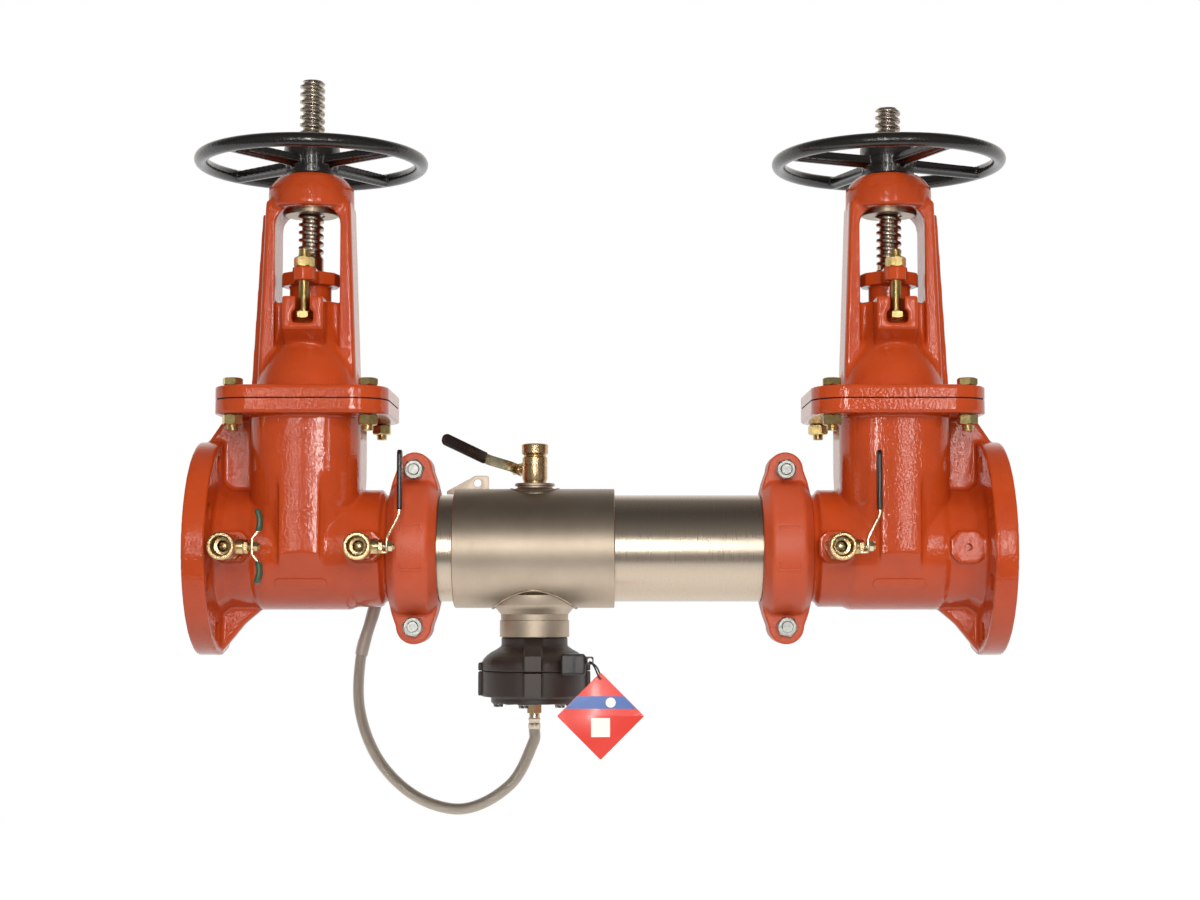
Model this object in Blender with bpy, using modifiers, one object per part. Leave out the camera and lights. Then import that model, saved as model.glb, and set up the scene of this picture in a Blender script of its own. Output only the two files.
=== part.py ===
"""Reduced-pressure backflow preventer for a 4 inch water main, with its two gate valves.

Metres, +Z up. The origin is the centre of the inlet flange's face, on the pipe axis.
+X points downstream and +Y points away from the side that carries the test cocks.
"""

import math

import bmesh
import bpy
from mathutils import Matrix, Vector

# Pipe line
LAY_LENGTH = 0.8572
VALVE_LENGTH = 0.2286
PIPE_R = 0.05715
BORE_R = 0.0508
GAP = 0.0003
PIPE_JOINT_GAP = 0.0032

# Grooved pipe ends
GROOVE_DEPTH = 0.0021
GROOVE_WIDTH = 0.0095
GROOVE_FROM_END = 0.0159

# Gate valve body
FLANGE_R = 0.1143
FLANGE_T = 0.0238
BOLT_CIRCLE_R = 0.09525
FLANGE_HOLE_R = 0.0095
FLANGE_HOLES = 8
BARREL_R = 0.063
STEM_FROM_FLANGE = VALVE_LENGTH / 2
NECK_HALF_X = 0.058
NECK_HALF_Y = 0.0715
BOWL_R = 0.066
NECK_CORNER_R = 0.045
NECK_STEP_Z = 0.072
GUIDE_HALF_X = 0.025
GUIDE_HALF_Y = 0.0735
GUIDE_FOOT_Z = -0.028
GUIDE_SLOPE_Z = 0.023
GUSSET_T = 0.014
PAD_HALF_X = 0.018
PAD_HALF_Z = 0.0165
PAD_Y = 0.0705
INLET_PAD_X = 0.044
OUTLET_PAD_X = VALVE_LENGTH - 0.0466
TAP_R = 0.0105
TAP_DEPTH = 0.0125

# Bonnet joint
JOINT_Z = 0.154
JOINT_HALF = 0.0915
JOINT_CORNER_R = 0.038
BODY_LIP_T = 0.015
BONNET_LIP_T = 0.0137
GASKET_T = 0.0015
GASKET_INSET = 0.003
JOINT_BOLT_X = JOINT_HALF - 0.0205
JOINT_BOLT_Y = JOINT_HALF - 0.0225
BOLT_R = 0.0062
HEX_FLATS = 0.019
HEX_HEIGHT = 0.0080
NUT_HEIGHT = 0.0109
BOLT_TAIL = 0.006

# Wedge and the chamber that it rises in
WEDGE_R = 0.0545
WEDGE_HALF_T = 0.019
WEDGE_RIM_R = 0.046
WEDGE_TOP_Z = 0.080
WEDGE_TOP_HALF_Y = 0.030
LUG_HALF_X = 0.011
LUG_HALF_Y = 0.0638
LUG_LOW_Z = -0.006
LUG_HIGH_Z = 0.040
CHAMBER_HALF_X = 0.044
CHAMBER_FLOOR_Z = 0.062
INLET_OPENING = 0.030

# Stem
STEM_R = 0.0137
STEM_NECK_R = 0.0110
STEM_FOOT_R = 0.0185
STEM_FOOT_Z = 0.060
STEM_FOOT_T = 0.009
STEM_TOP_Z = 0.480
STEM_CHAMFER = 0.0025

# Bonnet, stuffing box and yoke
DOME_R = 0.0585
DOME_STRETCH_Y = 1.13
DOME_WALL = 0.009
BOX_TOP_Z = 0.265
DOME_TOP_Z = BOX_TOP_Z - 0.040
BOX_R = 0.034
BOX_FLOOR_Z = BOX_TOP_Z - 0.032
PACKING_R = 0.0229
TEE_HALF_X = 0.0215
TEE_REACH_Y = 0.0625
GLAND_BOLT_Y = 0.050
SLOT_HALF_X = 0.0075
SLOT_FLOOR_Z = BOX_TOP_Z - 0.0145
POCKET_HALF_X = 0.0113
POCKET_FLOOR_Z = BOX_TOP_Z - 0.028
YOKE_BASE_HALF = 0.0535
YOKE_TOP_HALF = 0.0455
YOKE_WINDOW_HALF = 0.035
YOKE_HALF_Y = 0.029
YOKE_ARCH_Z = 0.368
YOKE_ARCH_R = 0.020
YOKE_CAP_Z = 0.404
YOKE_CAP_CHAMFER = 0.014
YOKE_RIB_T = 0.012
YOKE_RIB_FOOT = 0.063
YOKE_RIB_HEAD = 0.052
YOKE_RIB_TOP_Z = 0.362
YOKE_BORE_R = 0.0233

# Gland follower
GLAND_LOW_Z = BOX_TOP_Z + 0.018
GLAND_T = 0.014
GLAND_R = 0.03175
GLAND_EAR_R = 0.0125
GLAND_SLEEVE_FOOT_Z = BOX_FLOOR_Z + 0.0015
GLAND_BOLT_TOP_Z = GLAND_LOW_Z + 0.034

# Handwheel
WHEEL_Z = 0.420
WHEEL_R = 0.119
WHEEL_RIM_R = 0.008
WHEEL_HUB_R = 0.031
WHEEL_HUB_TOP_Z = 0.438
SPOKE_WIDTH = 0.020
SPOKE_TIP_WIDTH = 0.013
SPOKE_T = 0.010
SPOKES = 4
INLET_SPOKE_DEG = 37.0
OUTLET_SPOKE_DEG = 66.0
YOKE_NUT_FLANGE_R = 0.029
YOKE_NUT_FLANGE_T = 0.0065
WHEEL_NUT_FLATS = 0.048
WHEEL_NUT_T = 0.006

# Couplings
COUPLING_R = 0.0745
COUPLING_POCKET_R = 0.0665
COUPLING_KEY_WIDTH = 0.0080
COUPLING_LUG_Z = 0.0835
COUPLING_LUG_TOP_Z = 0.096
COUPLING_LUG_DEPTH = 0.022
COUPLING_SPLIT = 0.0015
COUPLING_NUT_FLATS = 0.0195

# Stainless body between the couplings
SHELL_T = 0.0050
STUB_LENGTH = 0.0408
TEE_LENGTH = 0.1715
TEE_START_X = VALVE_LENGTH + PIPE_JOINT_GAP + STUB_LENGTH
TEE_END_X = TEE_START_X + TEE_LENGTH
TEE_R = 0.064
BRANCH_X = TEE_START_X + 0.0857
BRANCH_BORE_R = 0.030
COLLAR_R = 0.03725
COLLAR_TOP_Z = -0.077
COLLAR_LOW_Z = -0.095
TOP_BOSS_R = 0.0215
TOP_BOSS_FLARE_R = 0.0262
TOP_BOSS_Z = 0.070
LUG_PLATE_Y = 0.030
LUG_PLATE_T = 0.003

# Check valves
CHECK_1_X = TEE_START_X - 0.0086
CHECK_2_X = TEE_END_X + 0.0259
SEAT_T = 0.008
SEAT_BORE_R = 0.033
CLAPPER_R = 0.0375
CLAPPER_T = 0.007
HINGE_Z = 0.0425
HINGE_X = 0.0075
HINGE_PIN_R = 0.0025
HINGE_LUG_R = 0.0052
HINGE_LUG_Y = 0.0165
HINGE_LUG_T = 0.0030
KNUCKLE_Y = 0.0115
SPRING_WIRE_R = 0.0008
SPRING_COIL_R = 0.0046
SPRING_HALF_LENGTH = 0.0085
SPRING_TURNS = 3

# Relief valve
RELIEF_NECK_R = 0.0355
RELIEF_R = 0.0565
RELIEF_SHOULDER_Z = -0.122
RELIEF_SPLIT_Z = -0.131
RELIEF_DRUM_Z = -0.158
RELIEF_FOOT_Z = -0.165
RELIEF_FOOT_R = 0.0465
RELIEF_EAR_REACH = 0.0600
RELIEF_EAR_WIDTH = 0.0185
RELIEF_WALL = 0.0055
RELIEF_SEAT_R = 0.019
RELIEF_SEAT_Z = -0.106
RELIEF_DISC_R = 0.024
RELIEF_DISC_T = 0.005
RELIEF_ROD_R = 0.005
DIAPHRAGM_T = 0.0018
PLATE_R = 0.030
PLATE_Z = -0.1435
PLATE_T = 0.003
SENSE_PORT_R = 0.0065
RELIEF_SPRING_TURNS = 3
RELIEF_BOLT_CIRCLE = 0.0395
RELIEF_BOLTS = 6

# Test cocks
COCK_LONG_REACH = 0.0345
COCK_SHORT_REACH = 0.0160
COCK_STEM_TO_END = 0.0265
COCK_BODY_R = 0.0135
COCK_END_R = 0.0143
COCK_WAIST_R = 0.0118
COCK_BALL_R = 0.0095
COCK_BORE_R = 0.0060
COCK_STEM_R = 0.0036
COCK_LEVER_LIFT = 0.0280
LEVER_OFFSET = 0.0126
LEVER_LENGTH = 0.100
LEVER_WIDTH = 0.013
LEVER_T = 0.0030
GRIP_T = 0.0052
WING_LENGTH = 0.0384
TOP_LEVER_RISE_DEG = 18.0
TOP_STEM_DEG = 133.0

# Sensing hose
HOSE_R = 0.006
FERRULE_R = 0.0066
FERRULE_LENGTH = 0.016
HOSE_TOP_Z = -0.193
ELBOW_Y = 0.088
HOSE_ROUTE_FROM_ELBOW = [
    (BRANCH_X - OUTLET_PAD_X, 0.0, HOSE_TOP_Z - GAP), (BRANCH_X - OUTLET_PAD_X, 0.0, HOSE_TOP_Z - 0.0120),
    (0.1510, 0.0070, -0.2530), (0.1010, 0.0212, -0.2812), (0.0490, 0.0385, -0.2708), (0.0050, 0.0580, -0.2330),
    (-0.0190, 0.0750, -0.1800), (-0.0205, 0.0865, -0.1220), (-0.0075, ELBOW_Y, -0.0720),
    (0.0, ELBOW_Y, -0.0445), (0.0, ELBOW_Y, -0.0325),
]

# Flood sensor and tag
SENSOR_X = BRANCH_X + 0.0421
SENSOR_Z = -0.1225
SENSOR_SIZE = (0.026, 0.018, 0.022)
SENSOR_Y = -0.0600
EYELET_X = SENSOR_X + 0.0167
EYELET_Z = -0.1184
TAG_X = SENSOR_X + 0.0288
TAG_Y = -0.0680
TAG_SIDE = 0.064
TAG_T = 0.0008
TAG_TOP_Z = -0.1300
TIE_R = 0.0011
EYELET_HOLE_R = 0.0026

# Facets of round forms
PIPE_SIDES = 20
ROUND_SIDES = 16
SMALL_SIDES = 12
BOLT_SIDES = 8

TURNS = {
    "Z": Matrix.Identity(4),
    "X": Matrix.Rotation(math.pi / 2, 4, "Y"),
    "Y": Matrix.Rotation(-math.pi / 2, 4, "X"),
}
PLANES = {
    "XY": Matrix.Identity(4),
    "XZ": Matrix.Rotation(math.pi / 2, 4, "X"),
    "YZ": Matrix.Rotation(math.pi / 2, 4, "Z") @ Matrix.Rotation(math.pi / 2, 4, "X"),
}


def start_file():
    """Empties the scene and makes the two collections."""
    for old in list(bpy.data.objects):
        bpy.data.objects.remove(old)
    parts = bpy.data.collections.new("backflow_preventer")
    tools = bpy.data.collections.new("cutters")
    bpy.context.scene.collection.children.link(parts)
    bpy.context.scene.collection.children.link(tools)
    return parts, tools


PARTS, TOOLS = start_file()


def paint(name, color, roughness, metallic=0.0):
    """A Principled material from a linear colour."""
    material = bpy.data.materials.new(name)
    material.use_nodes = True
    shader = material.node_tree.nodes["Principled BSDF"]
    shader.inputs["Base Color"].default_value = (*color, 1.0)
    shader.inputs["Roughness"].default_value = roughness
    shader.inputs["Metallic"].default_value = metallic
    return material


RED_PAINT = paint("red_enamel", (0.56, 0.075, 0.02), 0.25)
COUPLING_PAINT = paint("orange_enamel", (0.62, 0.11, 0.035), 0.4)
BLACK_PAINT = paint("black_enamel", (0.012, 0.012, 0.013), 0.3)
STAINLESS = paint("stainless_steel", (0.55, 0.50, 0.44), 0.3, 1.0)
BRASS = paint("brass", (0.60, 0.42, 0.20), 0.3, 1.0)
YELLOW_ZINC = paint("yellow_zinc", (0.62, 0.50, 0.22), 0.35, 1.0)
CLEAR_ZINC = paint("clear_zinc", (0.62, 0.65, 0.68), 0.3, 1.0)
RUBBER = paint("epdm_rubber", (0.02, 0.02, 0.02), 0.7)
BLACK_PLASTIC = paint("black_plastic", (0.015, 0.014, 0.013), 0.45)
GREEN_VINYL = paint("green_vinyl", (0.03, 0.12, 0.07), 0.4)
CHECK_PLASTIC = paint("check_plastic", (0.12, 0.12, 0.13), 0.5)
BRAID = paint("steel_braid", (0.45, 0.42, 0.37), 0.4, 1.0)
TAG_RED = paint("tag_red", (0.75, 0.06, 0.045), 0.4)


def put(name, mesh, centre=(0.0, 0.0, 0.0), turn=None):
    """Links a mesh as an object at a place, turned by a matrix."""
    obj = bpy.data.objects.new(name, mesh)
    PARTS.objects.link(obj)
    obj.matrix_world = Matrix.Translation(centre) @ (turn or Matrix.Identity(4))
    return obj


def turned(name, profile, axis="Z", centre=(0.0, 0.0, 0.0), steps=ROUND_SIDES, ring=False):
    """A profile of (radius, height) pairs, outer side first from the top down, screwed round."""
    mesh = bpy.data.meshes.new(name)
    edges = [(i, i + 1) for i in range(len(profile) - 1)]
    if ring:
        edges.append((len(profile) - 1, 0))
    mesh.from_pydata([(r, 0.0, h) for r, h in profile], edges, [])
    obj = put(name, mesh, centre, TURNS[axis])
    screw = obj.modifiers.new("Turn", "SCREW")
    screw.axis = "Z"
    screw.steps = steps
    screw.render_steps = steps
    screw.use_merge_vertices = True
    screw.merge_threshold = 0.00001
    if not ring:
        clear_flat_faces(obj)
    return obj


def clear_flat_faces(obj):
    """Joins the faces that lie in one plane, such as the fan that closes a turned end."""
    flat = obj.modifiers.new("Flat faces", "DECIMATE")
    flat.decimate_type = "DISSOLVE"
    flat.angle_limit = math.radians(0.3)


def solid_profile(outer):
    """Closes an outer side, given from the top down, onto the axis at both ends."""
    return [(0.0, outer[0][1])] + outer + [(0.0, outer[-1][1])]


def rod(name, radius, low, high, axis="Z", centre=(0.0, 0.0, 0.0), sides=SMALL_SIDES, tip=None, spin=0.0):
    """A cylinder, cone or prism with regular sides, from low to high along an axis."""
    form = bmesh.new()
    top = radius if tip is None else tip
    bmesh.ops.create_cone(
        form, cap_ends=True, segments=sides, radius1=radius, radius2=top, depth=high - low,
        matrix=Matrix.Translation((0.0, 0.0, (low + high) / 2)),
    )
    mesh = bpy.data.meshes.new(name)
    form.to_mesh(mesh)
    form.free()
    return put(name, mesh, centre, TURNS[axis] @ Matrix.Rotation(spin, 4, "Z"))


def hexagon(name, flats, low, high, axis="Z", centre=(0.0, 0.0, 0.0)):
    """A six-sided head or nut, given by its width across flats."""
    return rod(name, flats / math.sqrt(3), low, high, axis, centre, sides=6)


def block(name, low, high, soft=0.0):
    """A box between two corners, with its edges bevelled where soft is given."""
    form = bmesh.new()
    size = [b - a for a, b in zip(low, high)]
    middle = [(a + b) / 2 for a, b in zip(low, high)]
    bmesh.ops.create_cube(form, size=1.0, matrix=Matrix.Diagonal((*size, 1.0)))
    mesh = bpy.data.meshes.new(name)
    form.to_mesh(mesh)
    form.free()
    obj = put(name, mesh, middle)
    if soft:
        soften(obj, soft)
    return obj


def soften(obj, width, segments=1):
    """Rounds the sharp edges."""
    bevel = obj.modifiers.new("Edges", "BEVEL")
    bevel.width = width
    bevel.segments = segments
    bevel.limit_method = "ANGLE"
    bevel.angle_limit = math.radians(40)
    bevel.use_clamp_overlap = True


def rounded(corners, steps=2):
    """An outline from (u, v, radius) corners, each rounded by an arc of its radius."""
    points = []
    count = len(corners)
    for i, (u, v, radius) in enumerate(corners):
        here = Vector((u, v))
        if radius <= 0.0:
            points.append((u, v))
            continue
        before = (Vector(corners[i - 1][:2]) - here).normalized()
        after = (Vector(corners[(i + 1) % count][:2]) - here).normalized()
        half = before.angle(after) / 2
        centre = here + (before + after).normalized() * (radius / math.sin(half))
        start = here + before * (radius / math.tan(half)) - centre
        end = here + after * (radius / math.tan(half)) - centre
        sweep = math.atan2(start.x * end.y - start.y * end.x, start.dot(end))
        for k in range(steps + 1):
            angle = sweep * k / steps
            spun = Matrix.Rotation(angle, 2) @ start
            points.append(tuple(centre + spun))
    return points


def to_mesh(curve_obj):
    """Turns a curve object into a closed mesh object at the same place."""
    bpy.context.view_layer.update()
    shot = curve_obj.evaluated_get(bpy.context.evaluated_depsgraph_get())
    mesh = bpy.data.meshes.new_from_object(shot)
    form = bmesh.new()
    form.from_mesh(mesh)
    bmesh.ops.remove_doubles(form, verts=form.verts, dist=0.00001)
    form.to_mesh(mesh)
    form.free()
    obj = bpy.data.objects.new(curve_obj.name, mesh)
    PARTS.objects.link(obj)
    obj.matrix_world = curve_obj.matrix_world.copy()
    bpy.data.objects.remove(curve_obj)
    return obj


def plate(name, outline, thickness, plane="XY", centre=(0.0, 0.0, 0.0), spin=0.0):
    """A flat outline, extruded by half its thickness each way from its centre plane."""
    curve = bpy.data.curves.new(name, "CURVE")
    curve.dimensions = "2D"
    curve.fill_mode = "BOTH"
    curve.extrude = thickness / 2
    spline = curve.splines.new("POLY")
    spline.points.add(len(outline) - 1)
    for point, (u, v) in zip(spline.points, outline):
        point.co = (u, v, 0.0, 1.0)
    spline.use_cyclic_u = True
    turn = PLANES[plane] @ Matrix.Rotation(spin, 4, "Z")
    return to_mesh(put(name, curve, centre, turn))


def rounded_square(half_u, half_v, radius, steps=3):
    """The outline of a rectangle with round corners."""
    corners = [(half_u, half_v), (-half_u, half_v), (-half_u, -half_v), (half_u, -half_v)]
    return rounded([(u, v, radius) for u, v in corners], steps)


def tube(name, points, radius, resolution=2, centre=(0.0, 0.0, 0.0), closed=False):
    """A round bar along points."""
    curve = bpy.data.curves.new(name, "CURVE")
    curve.dimensions = "3D"
    curve.bevel_depth = radius
    curve.bevel_resolution = resolution
    curve.use_fill_caps = not closed
    spline = curve.splines.new("POLY")
    spline.points.add(len(points) - 1)
    for point, place in zip(spline.points, points):
        point.co = (*place, 1.0)
    spline.use_cyclic_u = closed
    return to_mesh(put(name, curve, centre))


def use_tool(target, tool, operation):
    """Adds one Boolean and stores its tool with the cutters."""
    step = target.modifiers.new(tool.name, "BOOLEAN")
    step.operation = operation
    step.solver = "EXACT"
    step.object = tool
    if tool.name in PARTS.objects:
        PARTS.objects.unlink(tool)
        TOOLS.objects.link(tool)
    tool.hide_render = True
    tool.display_type = "WIRE"


def fuse(target, *tools):
    for tool in tools:
        use_tool(target, tool, "UNION")


def cut(target, *tools):
    for tool in tools:
        use_tool(target, tool, "DIFFERENCE")


def finish(obj, name, material):
    """Names a finished piece and gives it its material and smooth shading."""
    obj.name = name
    obj.data.name = name
    obj.data.materials.clear()
    obj.data.materials.append(material)
    obj.data.shade_smooth()
    if any(step.type == "BOOLEAN" for step in obj.modifiers):
        clear_flat_faces(obj)
    return obj


def hang(obj, place):
    """Parents a moving piece to an empty on its joint's axis."""
    pivot = bpy.data.objects.new(obj.name + "_pivot", None)
    PARTS.objects.link(pivot)
    pivot.location = place
    obj.parent = pivot
    obj.matrix_parent_inverse = Matrix.Translation(place).inverted()


def valve_body(prefix, taps):
    """The cast body: end flange, barrel, bowl and neck, with the wedge's chamber inside."""
    x = STEM_FROM_FLANGE
    end = VALVE_LENGTH
    groove_low = end - GROOVE_FROM_END - GROOVE_WIDTH
    groove_high = end - GROOVE_FROM_END
    step_x = groove_low - 0.0045
    body = turned(prefix + "barrel", solid_profile([
        (PIPE_R, end), (PIPE_R, groove_high), (PIPE_R - GROOVE_DEPTH, groove_high),
        (PIPE_R - GROOVE_DEPTH, groove_low), (PIPE_R, groove_low), (PIPE_R, step_x),
        (BARREL_R, step_x - 0.003), (BARREL_R, FLANGE_T + 0.011), (BARREL_R + 0.009, FLANGE_T),
        (FLANGE_R, FLANGE_T), (FLANGE_R, 0.0),
    ]), "X", steps=PIPE_SIDES)
    bowl = turned(prefix + "bowl", solid_profile([
        (BOWL_R - 0.007, NECK_HALF_X), (BOWL_R, NECK_HALF_X - 0.010), (BOWL_R, 0.010 - NECK_HALF_X),
        (BOWL_R - 0.007, -NECK_HALF_X),
    ]), "X", (x, 0.0, 0.0), steps=PIPE_SIDES)
    lip_low = JOINT_Z - BODY_LIP_T
    neck_low = -0.003
    neck_high = lip_low + 0.002
    neck = plate(
        prefix + "neck", rounded_square(NECK_HALF_X, BOWL_R + 0.0006, NECK_CORNER_R, 4),
        neck_high - neck_low, "XY", (x, 0.0, (neck_low + neck_high) / 2),
    )
    crown_height = lip_low + 0.003 - NECK_STEP_Z
    crown = plate(
        prefix + "crown", rounded_square(NECK_HALF_X + 0.001, NECK_HALF_Y, NECK_CORNER_R, 4),
        crown_height, "XY", (x, 0.0, NECK_STEP_Z + crown_height / 2),
    )
    lip = plate(
        prefix + "lip", rounded_square(JOINT_HALF, JOINT_HALF, JOINT_CORNER_R),
        BODY_LIP_T, "XY", (x, 0.0, JOINT_Z - BODY_LIP_T / 2),
    )
    slope_y = GUIDE_HALF_Y - 0.0135
    guide = plate(prefix + "guide", [
        (GUIDE_HALF_Y, GUIDE_FOOT_Z + GUIDE_SLOPE_Z), (GUIDE_HALF_Y, NECK_STEP_Z + 0.014),
        (NECK_HALF_Y - 0.004, lip_low - 0.004), (0.004 - NECK_HALF_Y, lip_low - 0.004),
        (-GUIDE_HALF_Y, NECK_STEP_Z + 0.014), (-GUIDE_HALF_Y, GUIDE_FOOT_Z + GUIDE_SLOPE_Z),
        (-slope_y, GUIDE_FOOT_Z), (slope_y, GUIDE_FOOT_Z),
    ], 2 * GUIDE_HALF_X, "YZ", (x, 0.0, 0.0))
    top_gusset = plate(prefix + "top_gusset", [
        (0.003, FLANGE_R - 0.005), (x - JOINT_HALF + 0.001, lip_low + 0.001),
        (x - NECK_HALF_X + 0.015, lip_low + 0.001), (x - NECK_HALF_X + 0.015, BARREL_R - 0.010),
        (0.004, BARREL_R - 0.010),
    ], GUSSET_T, "XZ")
    low_gusset = plate(prefix + "low_gusset", rounded([
        (FLANGE_T - 0.006, 0.004 - FLANGE_R, 0.0), (FLANGE_T + 0.002, 0.006 - FLANGE_R, 0.0),
        (FLANGE_T + 0.024, -BARREL_R - 0.018, 0.020), (x - NECK_HALF_X + 0.014, -BARREL_R + 0.001, 0.0),
        (x - NECK_HALF_X + 0.014, -BORE_R - 0.003, 0.0), (FLANGE_T - 0.006, -BORE_R - 0.003, 0.0),
    ]), GUSSET_T, "XZ")
    fuse(body, bowl, neck, crown, lip, guide, top_gusset, low_gusset)
    for index, pad_x in enumerate((INLET_PAD_X, OUTLET_PAD_X)):
        pad = plate(
            prefix + "pad_%d" % index, rounded_square(PAD_HALF_X, PAD_HALF_Z, 0.008, 1),
            2 * PAD_Y, "XZ", (pad_x, 0.0, 0.0),
        )
        fuse(body, pad)

    half_step = math.pi / PIPE_SIDES
    cut(body, rod(prefix + "waterway", BORE_R, -0.01, end + 0.01, "X", sides=PIPE_SIDES, spin=half_step))
    cut(body, rod(prefix + "seat", WEDGE_R + GAP, -WEDGE_HALF_T - GAP, WEDGE_HALF_T + GAP, "X",
                  (x, 0.0, 0.0), sides=PIPE_SIDES))
    cut(body, block(
        prefix + "slot", (x - WEDGE_HALF_T - 2 * GAP, -WEDGE_R - 2 * GAP, 0.001),
        (x + WEDGE_HALF_T + 2 * GAP, WEDGE_R + 2 * GAP, JOINT_Z + 0.01),
    ))
    cut(body, block(
        prefix + "guides", (x - LUG_HALF_X - 2 * GAP, -LUG_HALF_Y - 2 * GAP, LUG_LOW_Z - GAP),
        (x + LUG_HALF_X + 2 * GAP, LUG_HALF_Y + 2 * GAP, JOINT_Z + 0.01),
    ))
    chamber_height = JOINT_Z + 0.01 - CHAMBER_FLOOR_Z
    cut(body, plate(
        prefix + "chamber", rounded_square(CHAMBER_HALF_X, WEDGE_R + 2 * GAP, 0.020, 2),
        chamber_height, "XY", (x, 0.0, CHAMBER_FLOOR_Z + chamber_height / 2),
    ))
    for index in range(FLANGE_HOLES):
        angle = 2 * math.pi * (index + 0.5) / FLANGE_HOLES
        place = (0.0, BOLT_CIRCLE_R * math.cos(angle), BOLT_CIRCLE_R * math.sin(angle))
        cut(body, rod(prefix + "flange_hole_%d" % index, FLANGE_HOLE_R, -0.01, FLANGE_T + 0.006,
                      "X", place, sides=BOLT_SIDES))
    for index, (side_x, side_y) in enumerate(joint_corners()):
        cut(body, rod(prefix + "joint_hole_%d" % index, BOLT_R + GAP, lip_low - 0.01, JOINT_Z + 0.01,
                      "Z", (x + side_x, side_y, 0.0), sides=BOLT_SIDES))
    for index, (tap_x, side) in enumerate(taps):
        low, high = sorted((side * (PAD_Y + 0.01), side * (PAD_Y - TAP_DEPTH)))
        cut(body, rod(prefix + "tap_%d" % index, TAP_R, low, high, "Y", (tap_x, 0.0, 0.0)))
        low, high = sorted((side * (BORE_R - 0.01), side * (PAD_Y - TAP_DEPTH + 0.001)))
        cut(body, rod(prefix + "drill_%d" % index, COCK_BORE_R, low, high, "Y", (tap_x, 0.0, 0.0), BOLT_SIDES))
    return finish(body, prefix + "valve_body", RED_PAINT)


def joint_corners():
    """Where the four bonnet bolts stand, from the stem's axis."""
    return [(sx * JOINT_BOLT_X, sy * JOINT_BOLT_Y) for sy in (-1, 1) for sx in (-1, 1)]


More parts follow.
